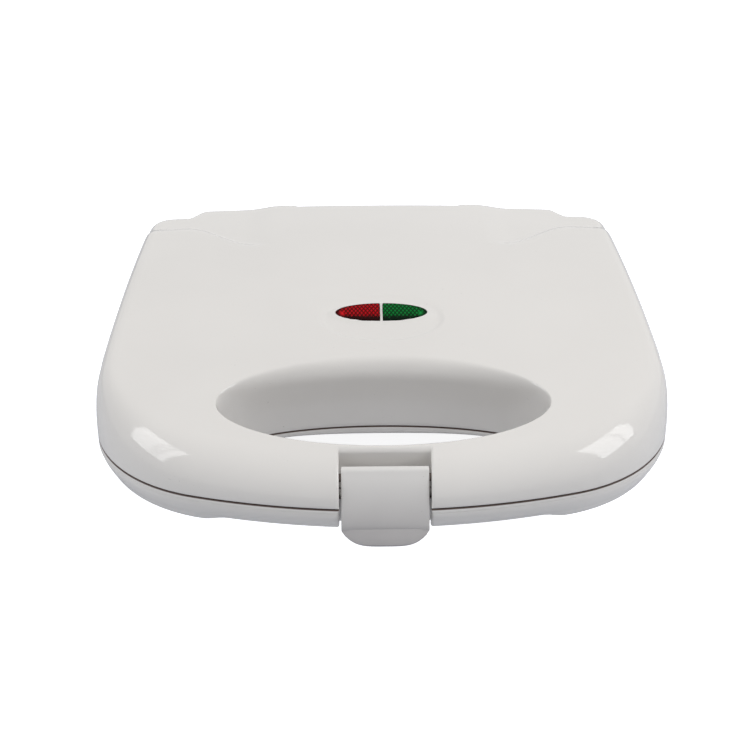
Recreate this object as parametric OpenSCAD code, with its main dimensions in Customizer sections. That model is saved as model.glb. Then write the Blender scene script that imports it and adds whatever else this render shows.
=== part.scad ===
// Two-slice sandwich toaster: a clam-shell of two moulded halves round a pair of
// non-stick plates, with a loop handle at the front and a hinge along the back.
// Origin: centre of the footprint on the table. +Z is up, the handle points to -Y.

/* [Body] */
// Width of the moulded halves, without the side rims
body_w = 227; // [215:1:240]
// Depth from the tip of the latch to the back of the hinge
depth = 225; // [218:1:232]
// Height of the line where the two halves meet
split_z = 42; // [40:0.5:46]
// Height of the highest line of the top
peak_z = 80; // [76:0.5:86]
// Distance of the highest line behind the middle of the footprint
peak_y = 53.5; // [45:0.5:60]
// How much lower the top is at the front of the handle than at its highest line
front_drop = 26; // [22:0.5:27]
// How much the sides of the top hang below its middle
crown = 3; // [1:0.5:4]
// Wall thickness of both halves
wall = 2.2; // [1.8:0.1:2.6]
// Gap between the closed halves
split_gap = 0.3; // [0.2:0.1:0.6]

/* [Outline] */
// Radius of the bowed front
front_r = 244; // [224:2:264]
// Radius of the front corners
corner_r = 60; // [54:1:66]
// Radius of the rear corners
rear_r = 14; // [12:1:16]
// How much nearer the middle each side is at the back than at the front
side_taper = 3.6; // [0:0.2:4]
// How far the latch tip stands in front of the handle
latch_reach = 5.7; // [5:0.1:7]
// How far the rear corners stand in front of the hinge axis
rear_inset = 10; // [9:0.5:12]
// How far the rear wall between the corners steps back
rear_step = 8; // [6:0.5:8.5]
// Extra step of the two hinge humps
hump_step = 1.7; // [0.5:0.1:1.7]
// Half the width of the stepped rear wall
rear_step_half = 84; // [80:1:88]
// How far the side rims stand out
rim_proud = 1.5; // [0.5:0.1:2]
// Height of the side rims on each half
rim_h = 4; // [3:0.5:5]
// Front end of the side rims
rim_front_y = -31; // [-32:1:-20]
// Rear end of the side rims
rim_rear_y = 81; // [60:1:82]

/* [Upper half] */
// Width of the rounded edge round the handle
front_edge = 13.5; // [11:0.5:15]
// Width of the rounded edge at the sides and the back
side_edge = 9.5; // [7:0.5:12]

/* [Lower half] */
// Height of the underside of the handle
bar_z = 31; // [29:0.5:33]
// Height of the lip behind the handle opening
lip_z = 38.2; // [37.5:0.1:38.6]
// Rise of the underside towards the handle, in mm per mm
under_slope = 0.52; // [0.48:0.01:0.56]
// Height of the flat underside
base_z = 4.5; // [4:0.5:6]
// Width of the rounded edge of the underside at the sides
bowl_edge = 16; // [14:0.5:17]
// Width of the rounded edge under the handle
bar_edge = 8; // [7:0.5:9]
// How far the lower half draws in below the split
rim_inset = 2.5; // [1.5:0.5:3]

/* [Handle opening] */
// Half the width of the opening
open_a = 62.5; // [58:0.5:65]
// Half the depth of the opening
open_b = 20.5; // [19:0.5:22]
// Distance of the centre of the opening behind the front of the handle
open_back = 39.8; // [39:0.2:41]

/* [Plates] */
// Width of the plate face
plate_w = 204; // [198:1:206]
// Depth of the plate face
plate_d = 114; // [108:1:115]
// Distance of the plate's centre behind the middle of the footprint
plate_y = 25.5; // [24:0.5:27]
// Corner radius of the plate face
plate_r = 14; // [12:1:18]
// Width of the flange that the frame covers
flange = 5; // [4.8:0.1:5]
// Depth of the sandwich pockets
pocket_depth = 10; // [8:0.5:10.5]
// Draw-in of the pocket sides from face to floor
pocket_draft = 9; // [8.5:0.5:11]
// Ridge between neighbouring pockets
ridge = 5; // [4:0.5:8]
// Wall of the cast plates
cast_wall = 2; // [1.6:0.1:2.4]
// Clearance between a plate and its frame
plate_fit = 0.4; // [0.3:0.1:0.8]
// Thickness of the frames
frame_t = 2.4; // [2.2:0.1:2.6]

/* [Heaters] */
// Diameter of the heater tube
tube_d = 6.4; // [5.6:0.1:6.6]
// Distance between the two legs of a heater
leg_gap = 52; // [44:1:54]
// Length of the straight legs
leg_len = 144; // [120:2:146]
// Distance of the heater's centre line behind the middle of the footprint
heater_y = 28.5; // [27:0.5:30]
// Thickness of the reflector sheets
sheet_t = 0.6; // [0.5:0.1:1]

/* [Hinge] */
// Radius of the hinge barrels
barrel_r = 5; // [4.6:0.1:5.2]
// Radius of the hinge pins
pin_r = 2; // [1.5:0.1:2.4]
// Radial clearance of a pin in its bores
pin_fit = 0.05; // [0.03:0.01:0.1]
// Distance of each hinge from the middle
hinge_x = 58; // [54:1:62]
// Length of the middle barrel of a hinge
knuckle_l = 15; // [12:1:18]
// Length of the two outer barrels of a hinge
ear_l = 8; // [6:1:9]
// Clearance round the barrels
barrel_clear = 0.6; // [0.4:0.1:0.8]

/* [Latch] */
// Width of the latch
latch_w = 32; // [28:1:34]
// Gap on each side of the latch
latch_side_gap = 0.8; // [0.6:0.05:1.6]
// Thickness of the latch plate
latch_t = 2.4; // [2:0.1:2.6]
// Height of the top edge of the latch
latch_top_z = 55; // [54:0.5:56]
// Radius of the latch pin
latch_pin_r = 1.5; // [1.2:0.1:1.6]

/* [Windows] */
// Width of the pair of indicator windows
lens_w = 37; // [32:0.2:40]
// Depth of the indicator windows
lens_d = 12.6; // [11:0.2:16]
// Distance of the windows in front of the middle of the footprint
lens_back = 13; // [11:0.5:15]
// Bar between the two windows
lens_bar = 1; // [0.8:0.1:2]

/* [Feet] */
// Radius of the rubber feet
foot_r = 7; // [5.5:0.5:7.5]
// Distance of the front feet from the middle
front_foot_x = 72; // [68:1:76]
// Distance of the front feet in front of the middle of the footprint
front_foot_front = 14.5; // [12:0.5:16]
// Distance of the rear feet from the middle
rear_foot_x = 78; // [70:1:80]
// Distance of the rear feet behind the middle of the footprint
rear_foot_y = 74; // [66:1:75]

/* [Cord inlet] */
// Radius of the hole for the cord
cord_hole_r = 3.4; // [3:0.1:3.8]
// Height of the cord inlet
cord_z = 20; // [18:0.5:24]

/* [Hidden] */
$fn = 48;

tiny = 0.01;
big = 400;

// Colours
shell_white = [0.88, 0.87, 0.86];
latch_white = [0.84, 0.83, 0.83];
plate_black = [0.09, 0.09, 0.10];
steel = [0.72, 0.73, 0.75];
heater_grey = [0.42, 0.41, 0.40];
ceramic_white = [0.93, 0.91, 0.86];

// Places along Y
hinge_y = depth / 2 - barrel_r;
front_y = -depth / 2 + latch_reach;
rear_y = hinge_y - rear_inset;
open_y = front_y + open_back;
lens_y = -lens_back;
lip_y = open_y + open_b;
half_w = body_w / 2;
half_gap = split_gap / 2;

// Arcs of the outline: bowed front, corner, straight side, rear corner, straight back
front_c = [0, front_y + front_r];
corner_x = half_w - corner_r;
corner_c = [corner_x, front_c.y - sqrt(pow(front_r - corner_r, 2) - pow(corner_x, 2))];
front_turn = asin(corner_x / (front_r - corner_r));
rear_c = [half_w - rear_r, rear_y - rear_r];

// Blends a into b as t goes from 0 to 1
function mix(a, b, t) = a + (b - a) * t;
// 0 below lo, 1 above hi, smooth between
function ease(lo, hi, v) =
    let (t = max(0, min(1, (v - lo) / (hi - lo)))) t * t * (3 - 2 * t);

// A station of the outline is [x, y, normal x, normal y]
function arc_stations(c, r, a0, a1, n) = [
    for (k = [0:n - 1])
        let (a = mix(a0, a1, k / n)) [c.x + r * cos(a), c.y + r * sin(a), cos(a), sin(a)]
];
front_steps = 7;
corner_steps = 11;
rear_steps = 4;
step_run = 8;
rim_ramp = 2.5;
side_ys = concat(
    [corner_c.y, rim_front_y, rim_front_y + rim_ramp],
    [for (k = [1:4]) mix(rim_front_y, rim_rear_y, k / 5)],
    [rim_rear_y - rim_ramp, rim_rear_y]
);
hump_in = hinge_x - knuckle_l / 2 - ear_l - 4;
rear_xs = [
    rear_c.x, rear_step_half + step_run, rear_step_half + step_run * 0.65,
    rear_step_half + step_run * 0.35, rear_step_half, hinge_x + knuckle_l / 2, hump_in + 4,
    hump_in, hump_in / 2, 0
];
right_half = concat(
    arc_stations(front_c, front_r, -90, front_turn - 90, front_steps),
    arc_stations(corner_c, corner_r, front_turn - 90, 0, corner_steps),
    [for (y = side_ys) [half_w, y, 1, 0]],
    arc_stations(rear_c, rear_r, 0, 90, rear_steps),
    [for (x = rear_xs) [x, rear_y, 0, 1]]
);
last = len(right_half) - 1;
stations = concat(
    right_half,
    [for (k = [1:last - 1]) let (s = right_half[last - k]) [-s[0], s[1], -s[2], s[3]]]
);

// How far the outline steps out at a station: the rear wall with its two hinge humps
function step_out(s) =
    s[3] < 0.99 || s[1] < 0 ? 0 :
    let (x = abs(s[0]), in_step = 1 - ease(rear_step_half, rear_step_half + step_run, x))
    in_step * (rear_step + hump_step * ease(hump_in, hump_in + 4, x));
// Share of the full width at a place along Y
taper_y = rim_front_y + rim_ramp;
function narrow(y) = 1 - side_taper / half_w * max(0, y - taper_y) / (rear_c.y - taper_y);
// How far the side rim stands out at a station
function rim_out(s) =
    abs(s[2]) < 0.99 ? 0 :
    rim_proud * ease(rim_front_y, rim_front_y + rim_ramp, s[1])
    * (1 - ease(rim_rear_y - rim_ramp, rim_rear_y, s[1]));
// Point at a station, drawn in from the outline by d
function inset_xy(s, d) =
    let (k = step_out(s) - d, y = s[1] + k * s[3])
    [(s[0] + k * s[2]) * narrow(y), y];

// Height of the top surface
drop_run = 160;
drop_power = 2.2;
function top_z(x, y) =
    peak_z - front_drop * pow(abs(y - peak_y) / drop_run, drop_power)
    - crown * pow(x / (half_w + rim_proud), 2);
// Height of the underside: flat base, slope up to the handle, lip behind the opening
function under_z(x, y) =
    let (
        near_lip = (1 - ease(open_a * 0.7, open_a * 1.1, abs(x)))
            * ease(open_y - open_b / 3, open_y + open_b / 3, y),
        cap = bar_z + (lip_z - bar_z) * near_lip,
        slope = lip_z - under_slope * (y - lip_y)
    )
    max(base_z, min(cap, slope));

// Width and squareness of the rounded top edge
function is_side(y) = ease(front_y + front_edge * 2, corner_c.y, y);
function top_edge(y) = mix(front_edge, side_edge, is_side(y));
function top_power(y) = mix(2.1, 2.8, is_side(y));
function low_edge(y) = mix(bar_edge, bowl_edge, ease(open_y - open_b / 2, corner_c.y, y));

// Direction round the opening that belongs to a station
function open_angle(s) =
    let (reach = s[1] > open_y ? rear_y - open_y : open_back)
    atan2((s[1] - open_y) / reach, s[0] / half_w);
// Width and drop of the rounded edge of the opening at the top
open_blend_end = 1.2;
open_blend_front = 3.5;
open_blend_rear = 5;
function open_xy(t, grow, blend) =
    let (side = sin(t) > 0 ? open_blend_rear : open_blend_front)
    [
        (open_a + grow + open_blend_end * blend) * cos(t),
        open_y + (open_b + grow + mix(open_blend_end, side, abs(sin(t))) * blend) * sin(t)
    ];
function open_drop(t) = mix(5, 8, (1 + sin(t)) / 2);

// Rounded edge of the upper half: a runs from 0 at the split to 90 on top
function top_edge_point(s, a, shrink, out) =
    let (
        w = top_edge(s[1]),
        p = top_power(s[1]),
        crest = inset_xy(s, w + shrink),
        h = top_z(crest.x, crest.y) - shrink - split_z,
        p2 = inset_xy(s, shrink + w * (1 - pow(cos(a), 2 / p)) - out)
    )
    [p2.x, p2.y, split_z + max(half_gap, h * pow(sin(a), 2 / p))];
function angle_at(s, rise) =
    let (p = top_power(s[1]), crest = inset_xy(s, top_edge(s[1])))
    asin(pow(rise / (top_z(crest.x, crest.y) - split_z), p / 2));

function upper_section(s) =
    let (
        t = open_angle(s),
        a1 = angle_at(s, rim_h),
        a2 = angle_at(s, rim_h + 1),
        out_crest = inset_xy(s, top_edge(s[1])),
        in_crest = inset_xy(s, top_edge(s[1]) + wall),
        open_top = open_xy(t, 0, 1),
        open_top_z = top_z(open_top.x, open_top.y),
        drop = open_drop(t)
    )
    concat(
        [top_edge_point(s, 0, 0, rim_out(s)), top_edge_point(s, a1, 0, rim_out(s))],
        [for (k = [0:6]) top_edge_point(s, mix(a2, 90, k / 6), 0, 0)],
        [
            for (u = [0.16, 0.36, 0.6, 0.82])
                let (p = mix(out_crest, open_top, u)) [p.x, p.y, top_z(p.x, p.y)]
        ],
        [
            for (b = [0:30:90])
                let (p = open_xy(t, 0, 1 - sin(b)))
                [p.x, p.y, open_top_z - drop * (1 - cos(b))]
        ],
        [let (p = open_xy(t, 0, 0)) [p.x, p.y, split_z + half_gap]],
        [let (p = open_xy(t, wall, 0)) [p.x, p.y, split_z + half_gap]],
        [let (p = open_xy(t, wall, 0)) [p.x, p.y, open_top_z - drop - wall / 2]],
        [
            for (u = [1, 0.8, 0.6, 0.4, 0.2])
                let (p = mix(in_crest, open_xy(t, wall, 1), u))
                [p.x, p.y, top_z(p.x, p.y) - wall]
        ],
        [for (a = [90, 62, 34]) top_edge_point(s, a, wall, 0)],
        [
            for (z = [split_z + half_gap + frame_t + 0.6, split_z + half_gap])
                let (p = inset_xy(s, wall)) [p.x, p.y, z]
        ]
    );

// Rounded edge of the lower half: a runs from 0 below the straight rim to 90 underneath
rim_straight = frame_t + 0.6;
rim_fall = 9;
function low_rim_point(s, shrink, out) =
    let (p = inset_xy(s, shrink - out)) [p.x, p.y, split_z - half_gap];
function low_edge_point(s, a, shrink, out) =
    let (
        w = low_edge(s[1]),
        crest = inset_xy(s, w + shrink),
        round_h = split_z - under_z(crest.x, crest.y) - shrink - rim_straight,
        fall = round_h * sin(a),
        draw = rim_inset * min(1, fall / (rim_fall - rim_straight))
            + (w - rim_inset) * (1 - cos(a)),
        p = inset_xy(s, shrink + draw - out)
    )
    [p.x, p.y, split_z - rim_straight - fall];
function low_angle_at(s, fall) =
    let (crest = inset_xy(s, low_edge(s[1])))
    asin((fall - rim_straight) / (split_z - under_z(crest.x, crest.y) - rim_straight));

function lower_section(s) =
    let (
        t = open_angle(s),
        a1 = low_angle_at(s, rim_h),
        a2 = low_angle_at(s, rim_h + 1),
        out_crest = inset_xy(s, low_edge(s[1])),
        in_crest = inset_xy(s, low_edge(s[1]) + wall),
        round_in = 1.4,
        edge = open_xy(t, round_in, 0),
        edge_z = under_z(edge.x, edge.y)
    )
    concat(
        [low_rim_point(s, wall, 0)],
        [for (a = [0, 34, 62, 90]) low_edge_point(s, a, wall, 0)],
        [
            for (u = [0.3, 0.55, 0.8])
                let (p = mix(in_crest, open_xy(t, wall + round_in, 0), u))
                [p.x, p.y, under_z(p.x, p.y) + wall * 1.1]
        ],
        [let (p = open_xy(t, wall, 0)) [p.x, p.y, under_z(p.x, p.y) + wall * 1.1]],
        [let (p = open_xy(t, wall, 0)) [p.x, p.y, split_z - half_gap]],
        [let (p = open_xy(t, 0, 0)) [p.x, p.y, split_z - half_gap]],
        [let (p = open_xy(t, 0, 0)) [p.x, p.y, edge_z + round_in]],
        [[edge.x, edge.y, edge_z]],
        [
            for (u = [0.85, 0.7, 0.55, 0.4, 0.2])
                let (p = mix(out_crest, edge, u)) [p.x, p.y, under_z(p.x, p.y)]
        ],
        [for (k = [5:-1:0]) low_edge_point(s, mix(a2, 90, k / 5), 0, 0)],
        [low_edge_point(s, a1, 0, rim_out(s)), low_rim_point(s, 0, rim_out(s))]
    );

// Closed ring through one section per station
module ring(sections) {
    n = len(sections);
    m = len(sections[0]);
    polyhedron(
        points = [for (s = sections) for (p = s) p],
        faces = [
            for (i = [0:n - 1])
                for (j = [0:m - 1])
                    let (
                        a = i * m + j,
                        b = i * m + (j + 1) % m,
                        c = ((i + 1) % n) * m + (j + 1) % m,
                        d = ((i + 1) % n) * m + j
                    )
                    each [[a, b, c], [a, c, d]]
        ]
    );
}

// Cylinder along X between two places
module rod_x(x0, x1, y, z, r) {
    translate([x0, y, z]) rotate([0, 90, 0]) cylinder(r = r, h = x1 - x0);
}
// The same on both sides of the middle
module both_sides() {
    children();
    mirror([1, 0, 0]) children();
}

// Places a piece drawn as height above the split in the upper or the lower half
module in_upper() {
    translate([0, 0, split_z]) children();
}
module in_lower() {
    translate([0, 0, split_z]) mirror([0, 0, 1]) children();
}

// Screws that hold a plate and its frame to the bosses of a half
screw_r = 1.5;
screw_hole_r = 1.7;
boss_bore_r = 1.55;
boss_r = 3.4;
head_r = 2.6;
head_h = 1;
screw_l = 6.5;
face = half_gap + 0.15;
frame_back = face + frame_t;
flange_t = 2;
flange_back = frame_back + flange_t;
flange_r = 8;
// Middle of the band that the frame covers, at a corner of the plate
corner_mid =
    let (
        inner = [plate_w / 2 - plate_r, plate_d / 2 - plate_r] + plate_r * [1, 1] * sqrt(0.5),
        outer = [plate_w / 2 + flange - flange_r, plate_d / 2 + flange - flange_r]
            + flange_r * [1, 1] * sqrt(0.5)
    )
    (inner + outer) / 2;
arm_screw = [half_w - 23.5, open_y + 10];
function screw_places() = concat(
    [for (sx = [-1, 1]) for (sy = [-1, 1]) [sx * corner_mid.x, plate_y + sy * corner_mid.y]],
    [for (sx = [-1, 1]) [sx * arm_screw.x, arm_screw.y]]
);
// Distance of a point from the straight side or the front corner of the outline
function from_edge(p) =
    p.y > corner_c.y ? half_w * narrow(p.y) - abs(p.x) : corner_r - norm([abs(p.x), p.y] - corner_c);
// The plate's flange lies between the frame and a boss, except in the arms of the handle
function seat(p) = p.y > plate_y - plate_d / 2 - flange ? flange_back : frame_back;
function upper_boss_top(p) = top_z(abs(p.x) + boss_r, p.y) - wall / 2;
function lower_boss_foot(p) =
    let (
        w = low_edge(p.y),
        d = from_edge(p) - boss_r - 1,
        c = 1 - (min(d, w) - rim_inset) / (w - rim_inset),
        h = split_z - under_z(abs(p.x), p.y)
    )
    split_z - h * sqrt(1 - c * c) + wall * 0.45;
module screw_set() {
    for (p = screw_places())
        translate([p.x, p.y, face + 0.1]) {
            difference() {
                cylinder(r = head_r, h = head_h);
                translate([-head_r, -0.35, -tiny]) cube([2 * head_r, 0.7, 0.45]);
            }
            cylinder(r = screw_r, h = screw_l);
        }
}

// Hinge barrels: the middle one belongs to the upper half, the outer two to the lower
knuckle = [hinge_x - knuckle_l / 2, hinge_x + knuckle_l / 2];
barrel_gap = 0.4;
ears = [
    [knuckle[0] - barrel_gap - ear_l, knuckle[0] - barrel_gap],
    [knuckle[1] + barrel_gap, knuckle[1] + barrel_gap + ear_l]
];
pin_ends = [ears[0][0] - 0.5, ears[1][1] + 0.5];
conduit_r = 4;
conduit_half = 31;
module pin_bore() {
    rod_x(pin_ends[0] - 1, pin_ends[1] + 1, hinge_y, split_z, pin_r + pin_fit);
}
module barrel_pocket(span) {
    rod_x(span[0] - barrel_gap, span[1] + barrel_gap, hinge_y, split_z,
        barrel_r + barrel_clear);
}

// Recess of the latch in the handle
recess_half = latch_w / 2 + latch_side_gap;
recess_wall = 2;
recess_back_y = front_y + 15.3;
low_recess_y = front_y + 8.8;
latch_axis = [front_y + 9.3, split_z + 8.5];
latch_pin_half = recess_half + recess_wall;
front_station = stations[0];
// Side wall of the recess, kept inside the rounded edge of the handle
module recess_side(section_points, back_y) {
    points = concat(section_points, [[back_y, section_points[len(section_points) - 1].y],
        [back_y, section_points[0].y]]);
    both_sides()
        translate([recess_half, 0, 0])
            rotate([90, 0, 90]) linear_extrude(recess_wall) polygon(points);
}
function yz(p) = [p.y, p.z];

module upper_recess_walls() {
    shrink = wall / 2;
    recess_side(
        concat(
            [for (a = [0:15:90]) yz(top_edge_point(front_station, a, shrink, 0))],
            [[recess_back_y, top_z(0, recess_back_y) - shrink]]
        ),
        recess_back_y + recess_wall
    );
    translate([-recess_half, recess_back_y, split_z + half_gap])
        cube([2 * recess_half, recess_wall + tiny,
            top_z(0, recess_back_y) - shrink - split_z - half_gap]);
}
module lower_recess_walls() {
    shrink = wall / 2;
    recess_side(
        concat(
            [yz(low_rim_point(front_station, shrink, 0))],
            [for (a = [0:15:90]) yz(low_edge_point(front_station, a, shrink, 0))]
        ),
        low_recess_y + recess_wall
    );
    translate([-recess_half, low_recess_y, bar_z + shrink])
        cube([2 * recess_half, recess_wall, split_z - half_gap - bar_z - shrink]);
}
// Catch ledge that the tooth of the latch hooks under
ledge_half = 10;
ledge_reach = 4.8;
ledge_z = split_z - 2.8;
module catch_ledge() {
    translate([-ledge_half, low_recess_y - ledge_reach, ledge_z])
        cube([2 * ledge_half, ledge_reach + recess_wall / 2, split_z - 0.5 - ledge_z]);
}

// Pair of windows: an ellipse split by a bar, tilted with the top
lens_slope = atan(
    front_drop * drop_power / drop_run
    * pow(abs(lens_y - peak_y) / drop_run, drop_power - 1)
);
lens_fit = 0.25;
lens_seat = 0.5;
lens_lip = 1.2;
lens_rise = 0.5;
window_foot = -wall - lens_seat - lens_lip;
module on_lens() {
    translate([0, lens_y, top_z(0, lens_y)]) rotate([lens_slope, 0, 0]) children();
}
module lens_outline(grow) {
    polygon([
        for (t = [0:9:351]) [(lens_w / 2 + grow) * cos(t), (lens_d / 2 + grow) * sin(t)]
    ]);
}
module half_lens(grow, bar, z, h) {
    translate([0, 0, z])
        difference() {
            linear_extrude(h) lens_outline(grow);
            translate([-big, -lens_d, -tiny]) cube([big + bar / 2, 2 * lens_d, h + 1]);
        }
}
module window() {
    half_lens(0, lens_bar + 2 * lens_fit, window_foot, lens_rise - window_foot);
    half_lens(lens_lip, lens_bar + 2 * lens_fit, window_foot, lens_lip);
}
holder_boss_x = lens_w / 2 + 6;
holder_boss_r = 2.6;
holder_screw_r = 0.9;
holder_h = 6.5;

// ---------------------------------------------------------------- moulded halves

module upper_housing() color(shell_white) {
    difference() {
        union() {
            ring([for (s = stations) upper_section(s)]);
            for (p = screw_places())
                translate([p.x, p.y, split_z + seat(p)])
                    cylinder(r = boss_r, h = upper_boss_top(p) - split_z - seat(p));
            both_sides() rod_x(knuckle[0], knuckle[1], hinge_y, split_z, barrel_r);
            upper_recess_walls();
            on_lens()
                both_sides()
                    translate([holder_boss_x, 0, window_foot])
                        cylinder(r = holder_boss_r, h = -window_foot - wall / 2);
        }
        both_sides() {
            for (e = ears) barrel_pocket(e);
            pin_bore();
        }
        rod_x(-conduit_half - 1, conduit_half + 1, hinge_y, split_z,
            conduit_r + barrel_clear);
        for (p = screw_places())
            translate([p.x, p.y, split_z]) cylinder(r = boss_bore_r, h = screw_l + 2);
        translate([-recess_half, front_y - 5, 0])
            cube([2 * recess_half, recess_back_y - front_y + 5, big]);
        rod_x(-latch_pin_half, latch_pin_half, latch_axis.x, latch_axis.y,
            latch_pin_r + 0.02);
        on_lens() {
            both_sides() half_lens(lens_fit, lens_bar, -2 * wall, 3 * wall);
            both_sides()
                translate([holder_boss_x, 0, window_foot - tiny])
                    cylinder(r = holder_screw_r + 0.02, h = -window_foot - wall / 2 - 0.4);
        }
    }
}

// Front legs and the seat of the cord bush are moulded on the lower half
leg_r = foot_r + 2;
stem_r = 2;
stem_hole_r = 2.05;
stem_top = base_z + wall * 1.1 + 0.2;
front_foot_y = -front_foot_front;
function foot_places() = [
    for (sx = [-1, 1])
        for (p = [[front_foot_x, front_foot_y], [rear_foot_x, rear_foot_y]]) [sx * p.x, p.y]
];
bush_r = 6;
bush_seat = [hinge_y - 13.1, hinge_y - 4.5];
under_tilt = atan(under_slope);
module front_leg(r, foot_z, sink) {
    intersection() {
        translate([front_foot_x, front_foot_y, foot_z]) cylinder(r = r, h = split_z);
        translate([0, lip_y, lip_z + sink])
            rotate([-under_tilt, 0, 0])
                translate([-big / 2, -big / 2, -big]) cube([big, big, big]);
    }
}
module lower_housing() color(shell_white) {
    difference() {
        union() {
            ring([for (s = stations) lower_section(s)]);
            for (p = screw_places())
                translate([p.x, p.y, lower_boss_foot(p)])
                    cylinder(r = boss_r, h = split_z - seat(p) - lower_boss_foot(p));
            both_sides() {
                for (e = ears) rod_x(e[0], e[1], hinge_y, split_z, barrel_r);
                front_leg(leg_r, base_z, wall / 2);
            }
            lower_recess_walls();
            catch_ledge();
            translate([0, bush_seat[1], cord_z])
                rotate([90, 0, 0])
                    cylinder(r = bush_r + 3, h = bush_seat[1] - bush_seat[0]);
        }
        both_sides() {
            barrel_pocket(knuckle);
            pin_bore();
            front_leg(leg_r - wall, base_z + wall, wall * 2);
        }
        rod_x(-conduit_half - 0.1, conduit_half + 0.1, hinge_y, split_z, conduit_r + 0.05);
        for (p = screw_places())
            translate([p.x, p.y, split_z - screw_l - 1])
                cylinder(r = boss_bore_r, h = screw_l + 1);
        translate([-recess_half, front_y - 5, 0])
            cube([2 * recess_half, low_recess_y - ledge_reach - front_y + 5, big]);
        for (x0 = [-recess_half, ledge_half])
            translate([x0, front_y - 5, 0])
                cube([recess_half - ledge_half, low_recess_y - front_y + 5, big]);
        translate([-recess_half, front_y - 5, 0])
            cube([2 * recess_half, low_recess_y - front_y + 5, ledge_z]);
        translate([0, bush_seat[1] + 10, cord_z])
            rotate([90, 0, 0]) cylinder(r = bush_r + 0.05, h = 30);
        for (f = foot_places()) translate([f.x, f.y, -1]) cylinder(r = stem_hole_r, h = 10);
    }
}

// ---------------------------------------------------------------- frames and plates

module rounded_slab(grow, r, z, h) {
    w = plate_w + 2 * grow;
    d = plate_d + 2 * grow;
    translate([0, plate_y, z + h / 2]) {
        cube([w - 2 * r, d, h], center = true);
        cube([w, d - 2 * r, h], center = true);
        for (sx = [-1, 1])
            for (sy = [-1, 1])
                translate([sx * (w / 2 - r), sy * (d / 2 - r), 0])
                    cylinder(r = r, h = h, center = true);
    }
}
frame_fit = 0.3;
module frame(front_cut_y) {
    rim = wall + frame_fit;
    difference() {
        translate([0, 0, face])
            linear_extrude(frame_t)
                difference() {
                    polygon([for (s = stations) inset_xy(s, rim)]);
                    polygon([for (t = [0:6:354]) open_xy(t, rim, 0)]);
                }
        rounded_slab(0, plate_r, -1, 10);
        translate([-latch_pin_half - frame_fit, front_y - 5, -1])
            cube([2 * (latch_pin_half + frame_fit), front_cut_y - front_y + 5, 10]);
        rod_x(-half_w, half_w, hinge_y, 0, barrel_r + barrel_clear + 0.2);
        for (p = screw_places())
            translate([p.x, p.y, 0]) {
                cylinder(r = screw_hole_r, h = 10);
                cylinder(r = head_r + 0.3, h = face + head_h + 0.2);
            }
    }
}
module upper_frame() color(shell_white) in_upper()
    frame(recess_back_y + recess_wall + frame_fit);
// The sloping floor of the lower half comes up to the split behind the lip
lip_half = open_a * 0.9;
lip_room = (frame_back - (split_z - lip_z) + wall * 1.1) / under_slope + frame_fit * 2;
module lower_frame() color(shell_white) in_lower()
    difference() {
        frame(low_recess_y + recess_wall + frame_fit);
        translate([-lip_half, open_y, 0]) cube([2 * lip_half, open_b + lip_room, 10]);
        // Notch that lets the wires up to the hinge
        translate([notch_x[0], rear_y, 0])
            cube([notch_x[1] - notch_x[0], hinge_y - rear_y, 10]);
    }

// Corners of a triangle moved in by d from each side
function side(p, i) = norm(p[(i + 1) % 3] - p[(i + 2) % 3]);
function tri_inset(p, d) =
    let (
        l = [for (i = [0:2]) side(p, i)],
        sum = l[0] + l[1] + l[2],
        centre = (l[0] * p[0] + l[1] * p[1] + l[2] * p[2]) / sum,
        area = abs((p[1].x - p[0].x) * (p[2].y - p[0].y) - (p[2].x - p[0].x) * (p[1].y - p[0].y)) / 2,
        r = 2 * area / sum
    )
    [for (q = p) centre + (q - centre) * (r - d) / r];
pocket_rim = 3.5;
pocket_r = 6;
floor_r = 4;
pocket_x = [ridge / 2, plate_w / 2 - pocket_rim];
pocket_y = [plate_y - plate_d / 2 + pocket_rim, plate_y + plate_d / 2 - pocket_rim];
// The two triangles of one sandwich, cut from the inner front to the outer rear corner
triangles = [
    [[pocket_x[0], pocket_y[1]], [pocket_x[0], pocket_y[0]], [pocket_x[1], pocket_y[1]]],
    [[pocket_x[1], pocket_y[0]], [pocket_x[1], pocket_y[1]], [pocket_x[0], pocket_y[0]]]
];
module pocket(tri) {
    top = tri_inset(tri, ridge / 2 + pocket_r);
    low = tri_inset(tri, ridge / 2 + pocket_draft + floor_r);
    hull() {
        for (p = top) translate([p.x, p.y, face - 1]) cylinder(r = pocket_r, h = 1.2, $fn = 24);
        for (p = low)
            translate([p.x, p.y, face + pocket_depth - 0.2])
                cylinder(r = floor_r, h = 0.2, $fn = 24);
    }
}
bulge_back = face + pocket_depth + cast_wall;
module bulge() {
    draw = pocket_draft - cast_wall;
    hull() {
        for (x = pocket_x)
            for (y = pocket_y)
                translate([x, y, flange_back - 0.5])
                    cylinder(r = 0.5, h = 0.5, $fn = 16);
        for (x = [pocket_x[0] + draw, pocket_x[1] - draw])
            for (y = [pocket_y[0] + draw, pocket_y[1] - draw])
                translate([x, y, bulge_back - 0.5]) cylinder(r = 0.5, h = 0.5, $fn = 16);
    }
}
stud_ys = [heater_y - leg_gap / 4, heater_y + leg_gap / 4];
stud_r = 3.2;
tube_z = bulge_back + tube_d / 2 + 0.05;
sheet_z = tube_z + tube_d / 2 + 0.6;
module plate() {
    difference() {
        union() {
            rounded_slab(-plate_fit, plate_r - plate_fit, face, flange_back - face);
            rounded_slab(flange, flange_r, frame_back, flange_t);
            both_sides() bulge();
            for (y = stud_ys)
                translate([0, y, flange_back - 1])
                    cylinder(r = stud_r, h = sheet_z - flange_back + 1);
        }
        both_sides()
            for (tri = triangles) pocket(tri);
        for (p = screw_places())
            if (seat(p) == flange_back)
                translate([p.x, p.y, 0]) cylinder(r = screw_hole_r, h = 10);
        for (y = stud_ys)
            translate([0, y, sheet_z - 8]) cylinder(r = boss_bore_r, h = 9);
    }
}
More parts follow.
